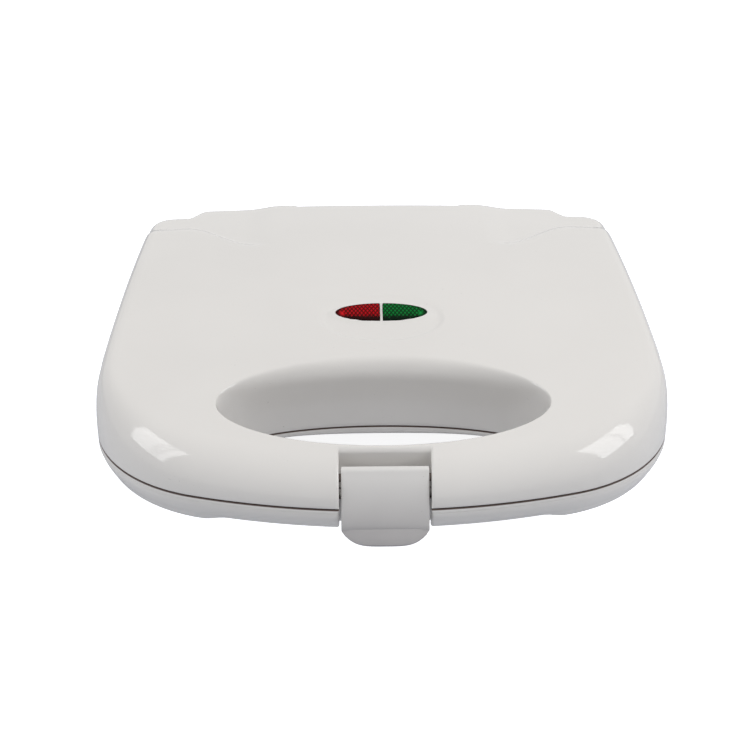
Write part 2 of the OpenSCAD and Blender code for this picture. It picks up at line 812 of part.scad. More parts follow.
module upper_plate() color(plate_black) in_upper() plate();
module lower_plate() color(plate_black) in_lower() plate();

// ---------------------------------------------------------------- heating

leg_x0 = -leg_len / 2;
leg_x1 = leg_len / 2;
module heater() {
    for (sy = [-1, 1])
        rod_x(leg_x0, leg_x1, heater_y + sy * leg_gap / 2, tube_z, tube_d / 2);
    translate([leg_x0, heater_y, tube_z])
        rotate([0, 0, 90])
            rotate_extrude(angle = 180) translate([leg_gap / 2, 0]) circle(r = tube_d / 2);
}
bead_r = tube_d / 2 - 0.2;
bead_l = 6;
tab = [9, 0.8, 6.3];
module terminals() {
    for (sy = [-1, 1])
        translate([leg_x1 + 0.05, heater_y + sy * leg_gap / 2, tube_z]) {
            rotate([0, 90, 0]) cylinder(r = bead_r, h = bead_l);
            translate([bead_l - 0.5, -tab.y / 2, -tab.z / 2]) cube(tab);
        }
}
sheet_half = [leg_len / 2 + 4, leg_gap / 2 + 7];
skirt = 4;
thermostat_x = -48;
thermostat_r = 8;
module reflector(window_r) {
    difference() {
        translate([-sheet_half.x, heater_y - sheet_half.y, sheet_z - skirt])
            cube([2 * sheet_half.x, 2 * sheet_half.y, skirt + sheet_t]);
        translate([-sheet_half.x - 1, heater_y - sheet_half.y + sheet_t, sheet_z - skirt - 1])
            cube([2 * sheet_half.x + 2, 2 * (sheet_half.y - sheet_t), skirt + 1]);
        for (y = stud_ys) translate([0, y, 0]) cylinder(r = screw_hole_r, h = big);
        if (window_r > 0)
            translate([thermostat_x, heater_y, 0]) cylinder(r = window_r, h = big);
    }
}
module reflector_screws() {
    for (y = stud_ys)
        translate([0, y, 0]) {
            translate([0, 0, sheet_z - 6]) cylinder(r = screw_r, h = 6 + sheet_t);
            difference() {
                translate([0, 0, sheet_z + sheet_t]) cylinder(r = head_r + 0.2, h = 1.6);
                translate([-4, -0.4, sheet_z + sheet_t + 1]) cube([8, 0.8, 1]);
            }
        }
}
module upper_heater() color(heater_grey) in_upper() heater();
module lower_heater() color(heater_grey) in_lower() heater();
module upper_terminals() color(ceramic_white) in_upper() terminals();
module lower_terminals() color(ceramic_white) in_lower() terminals();
module upper_reflector() color(steel) in_upper() reflector(thermostat_r + 1);
module lower_reflector() color(steel) in_lower() reflector(0);
module upper_reflector_screws() color(steel) in_upper() reflector_screws();
module lower_reflector_screws() color(steel) in_lower() reflector_screws();
module upper_screws() color(steel) in_upper() screw_set();
module lower_screws() color(steel) in_lower() screw_set();

// Thermostat on the back of the upper plate, held by a strap
strap_back = sheet_z + sheet_t + 2.4;
module strap(x, inner, span, width, top) {
    // Hat section along X with its feet on the reflector
    t = 0.8;
    foot = 5;
    base = sheet_z + sheet_t;
    translate([x, heater_y + width / 2, 0])
        rotate([90, 0, 0])
            linear_extrude(width)
                polygon([
                    [-span - foot, base], [-span - foot, base + t], [-span - t, base + t],
                    [-inner - t, top + t], [inner + t, top + t], [span + t, base + t],
                    [span + foot, base + t], [span + foot, base], [span, base], [inner, top],
                    [-inner, top], [-span, base]
                ]);
}
module thermostat() color([0.20, 0.18, 0.17]) in_upper()
    translate([thermostat_x, heater_y, bulge_back + 0.05]) {
        cylinder(r = thermostat_r, h = strap_back - bulge_back - 0.1);
    }
module thermostat_strap() color(steel) in_upper()
    strap(thermostat_x, thermostat_r, thermostat_r + 4, 8, strap_back);
// Thermal fuse on the lower reflector
fuse_r = 2;
fuse_x = 40;
module thermal_fuse() color([0.85, 0.84, 0.80]) in_lower()
    translate([fuse_x, heater_y - 8, sheet_z + sheet_t + fuse_r + 0.05])
        rotate([-90, 0, 0]) cylinder(r = fuse_r, h = 16);
module fuse_clip() color(steel) in_lower()
    strap(fuse_x, fuse_r, fuse_r + 1, 6, sheet_z + sheet_t + 2 * fuse_r + 0.1);

// ---------------------------------------------------------------- wiring

// Tube with flat ends swept along points that climb or run, never straight up
module wire(points, r, sides = 8) {
    n = len(points);
    dirs = [
        for (i = [0:n - 1])
            let (d = points[min(i + 1, n - 1)] - points[max(i - 1, 0)]) d / norm(d)
    ];
    polyhedron(
        points = [
            for (i = [0:n - 1])
                let (
                    u0 = cross(dirs[i], [0.31, 0.22, 0.92]),
                    u = u0 / norm(u0),
                    v = cross(dirs[i], u)
                )
                for (k = [0:sides - 1])
                    let (a = 360 * k / sides) points[i] + r * (cos(a) * u + sin(a) * v)
        ],
        faces = concat(
            [[for (k = [0:sides - 1]) k]],
            [[for (k = [sides - 1:-1:0]) (n - 1) * sides + k]],
            [
                for (i = [0:n - 2])
                    for (k = [0:sides - 1])
                        let (a = i * sides + k, b = i * sides + (k + 1) % sides)
                        each [[a, a + sides, b], [b, a + sides, b + sides]]
            ]
        )
    );
}
wire_r = 1.1;
terminal_x = leg_x1 + bead_l + tab.x - 0.45;
leg_y = [heater_y - leg_gap / 2, heater_y + leg_gap / 2];
block = [28, 13, 10];
block_at = [22, rear_y - 27, base_z + wall * 1.1 + 0.05];
module terminal_block() color([0.93, 0.92, 0.88])
    translate(block_at)
        difference() {
            cube(block);
            for (x = [block.x / 4, block.x * 3 / 4])
                translate([x, block.y / 2, block.z - 4]) cylinder(r = 2, h = 5);
        }

module wires(routes) {
    for (route = routes) wire(route, wire_r);
}
wire_gap = 0.15;
block_x = [block_at.x - wire_gap, block_at.x + block.x + wire_gap];
block_back = block_at.y + block.y + wire_gap;
wire_z = block_at.z + 5.5;
wire_ys = [block_at.y + 3, block_at.y + 9.5];
tab_x = terminal_x + wire_gap;
tab_lead = tab_x + 3;
inlet_y = bush_seat[0] - 2.3;
notch_x = [13, 30];
sleeve_y = rear_y + 3.7;
sleeve_rise = 3.6;
side_x = half_w - 20.5;
floor_z = block_at.z + wire_r;
module lower_wiring() color([0.86, 0.84, 0.78]) {
    tab_z = split_z - tube_z;
    wires([
        // Supply pair from the cord inlet to the terminal block
        [[-1.6, inlet_y, cord_z], [-1.4, inlet_y - 4, cord_z], [5, rear_y - 15.5, wire_z + 2],
            [12, rear_y - 21.5, wire_z], [block_x[0] - 4, wire_ys[0], wire_z],
            [block_x[0], wire_ys[0], wire_z]],
        [[1.6, inlet_y, cord_z], [2, inlet_y - 2, cord_z], [8, rear_y - 11.5, wire_z + 2],
            [13, rear_y - 15, wire_z], [block_x[0] - 4, wire_ys[1], wire_z],
            [block_x[0], wire_ys[1], wire_z]],
        // Terminal block to the two ends of the heater
        [[block_x[1], wire_ys[1], wire_z], [block_x[1] + 3, wire_ys[1], wire_z],
            [block_x[1] + 12, rear_y - 27.5, wire_z], [76, rear_y - 33.5, wire_z],
            [side_x - 5, leg_y[1] + 5.5, wire_z], [side_x - 1, leg_y[1] + 1.5, tab_z - 3.5],
            [tab_lead, leg_y[1], tab_z], [tab_x, leg_y[1], tab_z]],
        [[block_x[1], wire_ys[0], wire_z], [block_x[1] + 3, wire_ys[0], wire_z],
            [block_x[1] + 8, wire_ys[0] - 7.5, floor_z + 1.5],
            [70, wire_ys[0] - 15.5, floor_z + 1.5],
            [84, heater_y + 19.5, floor_z + 2], [side_x - 2, heater_y + 1.5, floor_z + 5],
            [side_x + 1, leg_y[0] + 12.5, floor_z + 9], [side_x, leg_y[0] + 2.5, tab_z - 3.5],
            [tab_lead, leg_y[0], tab_z], [tab_x, leg_y[0], tab_z]],
        // Terminal block to the sleeve at the hinge
        for (x = [20, 26])
            [[x + 9, block_back, wire_z], [x + 9, block_back + 2.8, wire_z],
                [x + 5, rear_y - 5.5, cord_z], [x + 1, rear_y - 0.5, cord_z + 11],
                [x, rear_y + 2.3, split_z - 5], [x, sleeve_y, split_z - 1.9]]
    ]);
}
// Heights of the wires above the split, beside and over the upper heater
wire_low = 8;
wire_mid = 16;
wire_high = 22;
wire_top = 26;
module upper_wiring() color([0.86, 0.84, 0.78]) {
    tab_z = split_z + tube_z;
    lamp_z = split_z + 25.5;
    lamp_y = lens_y + lens_d / 2 + 3.25;
    sleeve_z = split_z + sleeve_rise;
    low = split_z + wire_low;
    mid = split_z + wire_mid;
    high = split_z + wire_high;
    top = split_z + wire_top;
    can_x = thermostat_x + thermostat_r;
    wires([
        // Sleeve to the thermostat
        [[-20, sleeve_y, sleeve_z], [-21, rear_y + 0.5, low], [-24, rear_y - 9.5, mid + 2],
            [-30, rear_y - 27.5, top], [can_x + 4, heater_y + 21.5, top],
            [can_x + 2, heater_y + 11.5, top - 1.5], [can_x, heater_y + 5.5, top - 1.7]],
        // Sleeve to the two ends of the heater
        [[20, sleeve_y, sleeve_z], [22, rear_y + 0.5, low], [40, rear_y - 7.5, mid],
            [70, rear_y - 13.5, high], [side_x - 6, rear_y - 23.5, high],
            [side_x, leg_y[1] + 7.5, mid + 2], [side_x, leg_y[1] + 1.5, mid],
            [tab_lead, leg_y[1], tab_z], [tab_x, leg_y[1], tab_z]],
        [[26, sleeve_y, sleeve_z], [28, rear_y + 0.5, low - 2], [45, rear_y - 4.5, low + 2],
            [75, rear_y - 7.5, mid - 2], [side_x + 1, rear_y - 22.5, mid],
            [side_x + 4, rear_y - 47.5, mid], [side_x + 4, heater_y - 8.5, mid],
            [side_x, leg_y[0] + 3.5, mid], [tab_lead, leg_y[0], tab_z],
            [tab_x, leg_y[0], tab_z]],
        // Pair to the indicator lamps
        [[-7, lamp_y, lamp_z], [-10, lamp_y + 7, lamp_z + 1],
            [-24, heater_y - 8.5, lamp_z + 1], [can_x + 6, heater_y - 4.5, lamp_z],
            [can_x + 2, heater_y - 4.5, lamp_z - 1]],
        [[7, lamp_y, lamp_z], [10, lamp_y + 9, lamp_z + 1],
            [10, heater_y + 11.5, lamp_z + 1.5], [4, rear_y - 27.5, lamp_z + 1.5],
            [0, rear_y - 9.5, mid + 2], [-12, rear_y - 0.5, low],
            [-14, sleeve_y, sleeve_z]]
    ]);
}

// Sleeve on the hinge axis that leads the wires from one half to the other
module wire_conduit() color([0.35, 0.35, 0.36])
    difference() {
        rod_x(-conduit_half, conduit_half, hinge_y, split_z, conduit_r);
        rod_x(-conduit_half - 1, conduit_half + 1, hinge_y, split_z, conduit_r - 1.3);
    }
// Rubber bush in the cord inlet
module cord_bush() color([0.16, 0.16, 0.17])
    translate([0, 0, cord_z])
        rotate([-90, 0, 0])
            rotate_extrude()
                polygon([
                    [cord_hole_r, bush_seat[0] - 2], [bush_r + 1.2, bush_seat[0] - 2],
                    [bush_r + 1.2, bush_seat[0] - 0.05], [bush_r, bush_seat[0] - 0.05],
                    [bush_r, bush_seat[1] + 0.05], [bush_r + 2, bush_seat[1] + 0.05],
                    [bush_r + 2, bush_seat[1] + 1.4], [bush_r + 1.4, bush_seat[1] + 2],
                    [cord_hole_r, bush_seat[1] + 2]
                ]);

// ---------------------------------------------------------------- hinge pins and feet

module hinge_pin() color(steel) rod_x(pin_ends[0], pin_ends[1], hinge_y, split_z, pin_r);
module hinge_pin_right() hinge_pin();
module hinge_pin_left() mirror([1, 0, 0]) hinge_pin();

module foot(place) color([0.20, 0.20, 0.21])
    translate([place.x, place.y, 0])
        rotate_extrude()
            polygon([
                [0, 0], [foot_r - 0.8, 0], [foot_r, 0.8], [foot_r, base_z], [stem_r, base_z],
                [stem_r, stem_top], [stem_r + 0.8, stem_top], [stem_r, stem_top + 1.5],
                [0, stem_top + 1.5]
            ]);
module front_left_foot() foot([-front_foot_x, front_foot_y]);
module front_right_foot() foot([front_foot_x, front_foot_y]);
module rear_left_foot() foot([-rear_foot_x, rear_foot_y]);
module rear_right_foot() foot([rear_foot_x, rear_foot_y]);

// ---------------------------------------------------------------- windows and lamps

module green_window() color([0.05, 0.42, 0.20]) on_lens() window();
module red_window() color([0.72, 0.08, 0.08]) on_lens() mirror([1, 0, 0]) window();
holder_half = [lens_w / 2 + 0.7, lens_d / 2 + 0.7];
holder_t = 1.2;
holder_top = window_foot - 0.05;
ear_t = 1.6;
lamp_r = 2.1;
module lamp_holder() color(ceramic_white) on_lens() {
    inside = holder_half - [holder_t, holder_t];
    difference() {
        union() {
            translate([-holder_half.x, -holder_half.y, holder_top - holder_h])
                cube([2 * holder_half.x, 2 * holder_half.y, holder_h]);
            translate([-holder_boss_x - 3, -3.5, holder_top - ear_t])
                cube([2 * (holder_boss_x + 3), 7, ear_t]);
        }
        both_sides() {
            translate([holder_t / 2, -inside.y, holder_top - holder_h + holder_t])
                cube([inside.x - holder_t / 2, 2 * inside.y, holder_h]);
            translate([holder_boss_x, 0, holder_top - ear_t - 1])
                cylinder(r = holder_screw_r + 0.15, h = 4);
        }
    }
}
module lamp_holder_screws() color(steel) on_lens()
    both_sides()
        translate([holder_boss_x, 0, 0]) {
            translate([0, 0, holder_top - ear_t - 1.2]) cylinder(r = 1.9, h = 1.2);
            translate([0, 0, holder_top - ear_t - 0.1])
                cylinder(r = holder_screw_r, h = ear_t + 1.9);
        }
module lamp() {
    z = holder_top - holder_h + holder_t + lamp_r + 0.05;
    on_lens() {
        rod_x(4.5, 15, 0, z, lamp_r);
        rod_x(2, 4.5, 0, z, lamp_r * 0.8);
    }
}
module green_lamp() color([0.55, 0.80, 0.60]) lamp();
module red_lamp() color([0.90, 0.45, 0.30]) mirror([1, 0, 0]) lamp();

// ---------------------------------------------------------------- latch

latch_lean = 0.5;
latch_front_y = front_y + 7.8;
crease_z = split_z - 6.5;
tip = [-depth / 2, split_z - 11];
tooth_half = ledge_half - 0.5;
tooth_y = low_recess_y - ledge_reach + 2.4;
tooth_z = ledge_z - 1.4;
lip_r = 36;
function latch_front(z) = latch_front_y - latch_lean * (latch_top_z - z);
function latch_back(z) = latch_front(z) + latch_t * sqrt(1 + latch_lean * latch_lean);
module latch() color(latch_white) {
    difference() {
        union() {
            intersection() {
                translate([-latch_w / 2, 0, 0])
                    rotate([90, 0, 90])
                        linear_extrude(latch_w)
                            polygon([
                                [latch_front(latch_top_z - 0.6), latch_top_z - 0.6],
                                [latch_front(latch_top_z) + 0.6, latch_top_z],
                                [latch_back(latch_top_z) - 0.3, latch_top_z],
                                [latch_back(latch_top_z - 0.8), latch_top_z - 0.8],
                                [latch_back(crease_z - 1.6), crease_z - 1.6],
                                [tip.x + 4, tip.y - 0.4], [tip.x + 1.6, tip.y - 1.2],
                                [tip.x + 0.5, tip.y - 1], tip, [tip.x + 0.6, tip.y + 0.9],
                                [latch_front(crease_z), crease_z]
                            ]);
                translate([0, tip.x + lip_r, 0]) cylinder(r = lip_r, h = big);
            }
            rod_x(-latch_w / 2, latch_w / 2, latch_axis.x, latch_axis.y, latch_pin_r + 1.5);
            translate([-tooth_half, 0, 0])
                rotate([90, 0, 90])
                    linear_extrude(2 * tooth_half)
                        polygon([
                            [latch_back(tooth_z - 3.2) - 1, tooth_z - 3.2],
                            [tooth_y, tooth_z - 1.6], [tooth_y, tooth_z],
                            [latch_back(tooth_z + 0.8) - 1, tooth_z + 0.8]
                        ]);
        }
        rod_x(-latch_w, latch_w, latch_axis.x, latch_axis.y, latch_pin_r + 0.05);
    }
}
module latch_pin() color(steel)
    rod_x(-latch_pin_half, latch_pin_half, latch_axis.x, latch_axis.y, latch_pin_r);

lower_housing();
lower_frame();
lower_plate();
lower_heater();
lower_reflector();
lower_reflector_screws();
lower_screws();
lower_terminals();
thermal_fuse();
fuse_clip();
terminal_block();
lower_wiring();
cord_bush();
wire_conduit();
hinge_pin_left();
hinge_pin_right();
front_left_foot();
front_right_foot();
rear_left_foot();
rear_right_foot();
upper_housing();
upper_frame();
upper_plate();
upper_heater();
upper_reflector();
upper_reflector_screws();
upper_screws();
upper_terminals();
red_window();
green_window();
red_lamp();
green_lamp();
lamp_holder();
lamp_holder_screws();
thermostat();
thermostat_strap();
upper_wiring();
latch();
latch_pin();
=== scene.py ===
import logging
import math
from dataclasses import dataclass, field
from enum import Enum
from typing import Callable, Iterable, Optional, Sequence

import bmesh
import bpy
from mathutils import Matrix, Vector


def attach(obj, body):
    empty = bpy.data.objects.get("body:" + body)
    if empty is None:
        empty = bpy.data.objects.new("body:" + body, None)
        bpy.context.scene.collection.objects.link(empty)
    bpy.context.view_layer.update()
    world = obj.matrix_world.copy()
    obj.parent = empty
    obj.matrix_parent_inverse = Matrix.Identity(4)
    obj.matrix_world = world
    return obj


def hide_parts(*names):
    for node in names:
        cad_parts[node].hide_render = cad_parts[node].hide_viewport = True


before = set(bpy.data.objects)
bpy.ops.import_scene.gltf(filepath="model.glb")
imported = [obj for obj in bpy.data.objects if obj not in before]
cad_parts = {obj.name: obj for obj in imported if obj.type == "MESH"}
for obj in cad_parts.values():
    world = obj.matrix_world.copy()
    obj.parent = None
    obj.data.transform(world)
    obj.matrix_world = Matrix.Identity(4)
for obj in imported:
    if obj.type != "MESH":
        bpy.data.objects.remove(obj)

log = logging.getLogger("sandwich_toaster")
MM = 0.001
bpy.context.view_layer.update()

Pair = tuple[float, float]
Triple = tuple[float, float, float]
Socket = bpy.types.NodeSocket
Material = bpy.types.Material
Object = bpy.types.Object
BMesh, BMVert, BMEdge = bmesh.types.BMesh, bmesh.types.BMVert, bmesh.types.BMEdge


def mix(a: float, b: float, t: float) -> float:
    """Blends a into b as t goes from 0 to 1."""
    return a + (b - a) * t


def between(a: Sequence[float], b: Sequence[float], t: float) -> Pair:
    """The place between two points of the plane, as t goes from 0 to 1."""
    return mix(a[0], b[0], t), mix(a[1], b[1], t)


def ease(lo: float, hi: float, v: float) -> float:
    """0 below lo, 1 above hi and smooth between."""
    t = max(0.0, min(1.0, (v - lo) / (hi - lo)))
    return t * t * (3 - 2 * t)


def soft_min(a: float, b: float, k: float) -> float:
    """The smaller of a and b, with the corner between them rounded over k."""
    h = max(k - abs(a - b), 0.0) / k
    return min(a, b) - h * h * k / 4


def soft_max(a: float, b: float, k: float) -> float:
    """The larger of a and b, with the corner between them rounded over k."""
    return -soft_min(-a, -b, k)


# ------------------------------------------------------------------ finishes


def feed(tree: bpy.types.NodeTree, socket: Socket, value: object) -> None:
    """Links a socket to an input, or sets a number, a vector or a colour of three numbers there."""
    if isinstance(value, Socket):
        tree.links.new(value, socket)
    else:
        socket.default_value = (*value, 1.0) if socket.type == "RGBA" else value


def add_node(tree: bpy.types.NodeTree, kind: str, inputs: Optional[dict] = None,
             **props: object) -> bpy.types.Node:
    """Adds a node to a tree.

    Args:
        tree: The tree.
        kind: Node type without its ShaderNode prefix.
        inputs: Values or sockets for its inputs, by name or number.
        props: Settings of the node.

    Returns:
        The new node.
    """
    node = tree.nodes.new("ShaderNode" + kind)
    for key, value in props.items():
        setattr(node, key, value)
    for key, value in (inputs or {}).items():
        feed(tree, node.inputs[key], value)
    return node


def bare_material(name: str) -> Material:
    """A new material with an empty node tree."""
    material = bpy.data.materials.new(name)
    material.use_nodes = True
    material.node_tree.nodes.clear()
    return material


def scaled(colour: Triple, share: float, plus: float = 0.0) -> Triple:
    """A colour times share and raised by plus, up to 1."""
    return tuple(min(1.0, c * share + plus) for c in colour)


class Graph:
    """The node graph of one finish, with short calls for the nodes that the finishes use."""

    def __init__(self, name: str) -> None:
        """Starts a graph with a shader and its output, for a material of this name."""
        self.material = bare_material(name)
        self.shader = self.add("BsdfPrincipled")
        self.add("OutputMaterial", {"Surface": self.shader.outputs["BSDF"]})
        self.place = self.add("TexCoord").outputs["Object"]

    def add(self, kind: str, inputs: Optional[dict] = None, **props: object) -> bpy.types.Node:
        """Adds a node, as add_node does."""
        return add_node(self.material.node_tree, kind, inputs, **props)

    def stretched(self, scale: Sequence[float], turn: float = 0.0) -> Socket:
        """Object coordinates stretched along the axes and turned about Z by turn degrees."""
        return self.add("Mapping", {"Vector": self.place, "Scale": tuple(scale),
                                    "Rotation": (0, 0, math.radians(turn))}).outputs[0]

    def noise(self, scale: float, detail: float = 2.0, place: Optional[Socket] = None,
              rough: float = 0.5) -> Socket:
        """Cloudy noise.

        Args:
            scale: Features per metre.
            detail: Octaves.
            place: Coordinates, or None for the piece's own.
            rough: How strong the small features are.

        Returns:
            The socket with the noise, from 0 to 1.
        """
        return self.add("TexNoise", {"Vector": place or self.place, "Scale": scale, "Detail": detail,
                                     "Roughness": rough}).outputs["Fac"]

    def fit(self, value: Socket, lo: float, hi: float, to_lo: float = 0.0, to_hi: float = 1.0) -> Socket:
        """Maps lo..hi to to_lo..to_hi and clamps it there."""
        return self.add("MapRange", {"Value": value, "From Min": lo, "From Max": hi, "To Min": to_lo,
                                     "To Max": to_hi}).outputs["Result"]

    def clouds(self, scale: float, detail: float, *limits: float) -> Socket:
        """Cloudy noise with its limits fitted."""
        return self.fit(self.noise(scale, detail), *limits)

    def maths(self, operation: str, a: object, b: object = 0.0) -> Socket:
        """One step of arithmetic on sockets or numbers."""
        return self.add("Math", {0: a, 1: b}, operation=operation).outputs[0]

    def times(self, a: object, b: object) -> Socket:
        """The product of sockets or numbers."""
        return self.maths("MULTIPLY", a, b)

    def blend(self, share: Socket, a: object, b: object) -> Socket:
        """Colour a where share is 0 and colour b where it is 1."""
        return self.add("Mix", {0: share, 6: a, 7: b}, data_type="RGBA").outputs[2]

    def bump(self, height: Socket, depth: float, below: Optional[Socket] = None) -> Socket:
        """A bumped normal, depth metres deep, on top of the normal below."""
        inputs = {"Height": height, "Distance": depth, "Strength": 1.0}
        if below:
            inputs["Normal"] = below
        return self.add("Bump", inputs).outputs["Normal"]

    def finish(self, **inputs: object) -> Material:
        """Sets the shader's inputs, named with _ for a space, and gives the finished material back."""
        for key, value in inputs.items():
            feed(self.material.node_tree, self.shader.inputs[key.replace("_", " ")], value)
        return self.material


@dataclass(frozen=True)
class Coat:
    """What each kind of finish has."""

    name: str
    colour: Triple

    def shade(self, g: Graph) -> Material:
        """Builds the material on an empty graph."""
        raise NotImplementedError


@dataclass(frozen=True)
class MouldedPlastic(Coat):
    """Glossy or satin moulded plastic with faint waviness, a slight change of tone, scuffs and dust."""

    gloss: float = 0.045
    scuffs: float = 0.05
    grain: float = 0.000008
    # Height of the seam that gets painted shade, or 0 for none.
    seam_shade_z: float = 0.0
    # Heights between which painted shade darkens the colour downwards, or zeros for none.
    painted_shade_z: Pair = (0.0, 0.0)

    def shade(self, g: Graph) -> Material:
        """Builds the material, with painted shade in the seam between the halves and grey painted shade that
        darkens it towards the bottom.
        """
        base = g.blend(g.clouds(14, 3, 0.3, 0.7), scaled(self.colour, 0.965), self.colour)
        dust = g.times(g.clouds(1150, 1, 0.745, 0.80, 0.0, 0.35), g.clouds(31, 2, 0.5, 0.68))
        base = g.blend(dust, base, scaled(self.colour, 0.35))
        height = g.add("SeparateXYZ", {0: g.place}).outputs[2]
        low, high = self.painted_shade_z
        # Painted shade: darker towards the bottom from the upper height, and darker still just below the lower
        # one.
        if high:
            painted_shade = g.times(g.fit(height, low, high, 0.62, 0.0), g.clouds(60, 3, 0.2, 0.6, 0.85, 1))
            painted_shade = g.maths("ADD", painted_shade, g.fit(height, low - 0.0010, low - 0.0007, 0.20, 0.0))
            base = g.blend(painted_shade, base, (0.30, 0.29, 0.30))
        # Painted shade: dark brown in the seam between the two halves, fading out about half a millimetre from
        # it.
        if self.seam_shade_z:
            away = g.maths("ABSOLUTE", g.maths("SUBTRACT", height, self.seam_shade_z))
            base = g.blend(g.fit(away, 0.00036, 0.00048, 0.93, 0.0), base, (0.10, 0.065, 0.055))
        streak = g.fit(g.noise(90, 4, g.stretched((1, 9, 3), 24), 0.7), 0.5, 0.78)
        rough = g.maths("ADD", g.times(streak, self.scuffs),
                        g.clouds(23, 4, 0.3, 0.7, self.gloss, self.gloss + 0.03))
        fine = g.bump(g.noise(1300, 2), self.grain, g.bump(g.noise(42, 1), 0.00004))
        return g.finish(Base_Color=base, Roughness=rough, Normal=fine, IOR=1.49)


@dataclass(frozen=True)
class NonStickCoating(Coat):
    """Black sprayed coating on cast aluminium, with fine pits, sparkle and wiped streaks."""

    def shade(self, g: Graph) -> Material:
        """Builds the material."""
        base = g.blend(g.clouds(35, 3, 0.3, 0.7), self.colour, scaled(self.colour, 1.5))
        base = g.blend(g.times(g.clouds(2600, 1, 0.66, 0.74), 0.35), base, (0.20, 0.20, 0.21))
        wiped = g.noise(60, 4, g.stretched((1, 5, 1), 35), 0.6)
        pits = g.bump(g.noise(1500, 3), 0.00006, g.bump(g.noise(300, 2), 0.00012))
        return g.finish(Base_Color=base, Roughness=g.fit(wiped, 0.3, 0.7, 0.32, 0.46), Normal=pits)


@dataclass(frozen=True)
class RolledMetal(Coat):
    """Rolled or drawn metal with a fine grain, smudges and heat tint where it gets hot."""

    rough: float = 0.28
    tint: float = 0.0

    def shade(self, g: Graph) -> Material:
        """Builds the material."""
        grain = g.noise(420, 3, g.stretched((0.06, 1, 1)), 0.6)
        smudge = g.clouds(55, 3, 0.45, 0.75)
        base = g.blend(g.fit(grain, 0.3, 0.7), scaled(self.colour, 0.86), self.colour)
        base = g.blend(g.times(smudge, 0.25 + self.tint), base, (0.30, 0.22, 0.14))
        rough = g.maths("ADD", g.fit(grain, 0.3, 0.7, self.rough - 0.05, self.rough + 0.08),
                        g.times(smudge, 0.12))
        return g.finish(Base_Color=base, Roughness=rough, Normal=g.bump(grain, 0.00003), Metallic=1.0)


@dataclass(frozen=True)
class SteatiteCeramic(Coat):
    """Off-white pressed ceramic with a dry, slightly pitted face."""

    def shade(self, g: Graph) -> Material:
        """Builds the material."""
        base = g.blend(g.clouds(260, 4, 0.35, 0.7), self.colour, scaled(self.colour, 0.84))
        return g.finish(Base_Color=base, Roughness=g.clouds(120, 2, 0.3, 0.7, 0.4, 0.6),
                        Normal=g.bump(g.noise(1400, 3), 0.00005))


@dataclass(frozen=True)
class MouldedRubber(Coat):
    """Dark matt rubber with a dusty bloom."""

    def shade(self, g: Graph) -> Material:
        """Builds the material."""
        bloom = g.fit(g.noise(180, 4, None, 0.65), 0.42, 0.75, 0.0, 0.45)
        return g.finish(Base_Color=g.blend(bloom, self.colour, scaled(self.colour, 2.4, 0.01)),
                        Roughness=g.fit(bloom, 0.0, 0.45, 0.55, 0.82),
                        Normal=g.bump(g.noise(2200, 2), 0.00005))


@dataclass(frozen=True)
class BraidedSleeve(Coat):
    """Heat-proof glass-fibre braid, drawn over a wire or a tube."""

    pitch: float = 0.0011

    def shade(self, g: Graph) -> Material:
        """Builds the material."""
        bands = [g.add("TexWave", {"Vector": g.stretched((1, 1, 1), turn), "Scale": 0.314 / self.pitch,
                                   "Distortion": 0.6, "Detail": 1.0}, bands_direction="DIAGONAL").outputs["Fac"]
                 for turn in (0, 90)]
        weave = g.maths("MAXIMUM", *bands)
        return g.finish(Base_Color=g.blend(weave, scaled(self.colour, 0.62), self.colour),
                        Roughness=g.fit(weave, 0.0, 1.0, 0.8, 0.5), Normal=g.bump(weave, 0.0002))


@dataclass(frozen=True)
class TintedLens(Coat):
    """Clear glossy cap over a moulded field of small diamonds, with painted shade of the cavity below it and a
    painted highlight near its rim.
    """

    # Colour of the painted shade.
    dark: Triple = (0.0, 0.0, 0.0)
    pitch: float = 0.0016
    half_axes: Pair = (0.0185, 0.0063)
    centre_y: float = -0.013

    def shade(self, g: Graph) -> Material:
        """Builds the material: diamonds from two slanted stripes, with painted shade towards the front and the
        rim and a painted highlight just inside the rim.
        """
        x, y = g.add("SeparateXYZ", {0: g.place}).outputs[:2]
        stripes = [g.maths("PINGPONG", g.maths("DIVIDE", g.maths(way, x, g.times(y, 0.5)), self.pitch), 0.5)
                   for way in ("ADD", "SUBTRACT")]
        diamonds = g.maths("MINIMUM", *stripes)
        cloud = g.noise(420, 3, None, 0.6)
        across = g.maths("DIVIDE", g.maths("ABSOLUTE", x), self.half_axes[0])
        ahead = g.maths("DIVIDE", g.maths("SUBTRACT", y, self.centre_y), self.half_axes[1])
        out = g.maths("SQRT", g.maths("ADD", g.times(across, across), g.times(ahead, ahead)))
        # Painted shade of the cavity under the cap, darkest towards the front.
        low = g.fit(g.maths("ADD", ahead, g.times(cloud, 0.9)), -0.25, 0.1, 1.0, 0.0)
        chamber_shade = g.times(low, g.fit(g.maths("SUBTRACT", across, ahead), 0.35, 0.75))
        # Painted highlight: a thin bright band just inside the rim, towards the front.
        painted_glint = g.times(g.fit(across, 0.80, 0.86), g.fit(across, 0.95, 0.90))
        lit = g.blend(g.fit(diamonds, 0.05, 0.34), scaled(self.colour, 0.10), self.colour)
        lit = g.blend(g.times(painted_glint, g.fit(ahead, 0.1, -0.35)), lit, scaled(self.colour, 1.9, 0.01))
        # Painted shade: the cavity's shade and a dark band round the rim, over the lens colour.
        shadow = g.maths("MAXIMUM", g.times(chamber_shade, 0.97), g.times(g.fit(out, 0.86, 0.97), 0.85))
        return g.finish(Base_Color=g.blend(shadow, lit, self.dark), Specular_IOR_Level=0.0,
                        Roughness=g.fit(cloud, 0.3, 0.7, 0.24, 0.36), Normal=g.bump(diamonds, 0.0004),
                        Coat_Weight=0.12, Coat_Roughness=0.05, Coat_IOR=1.4)


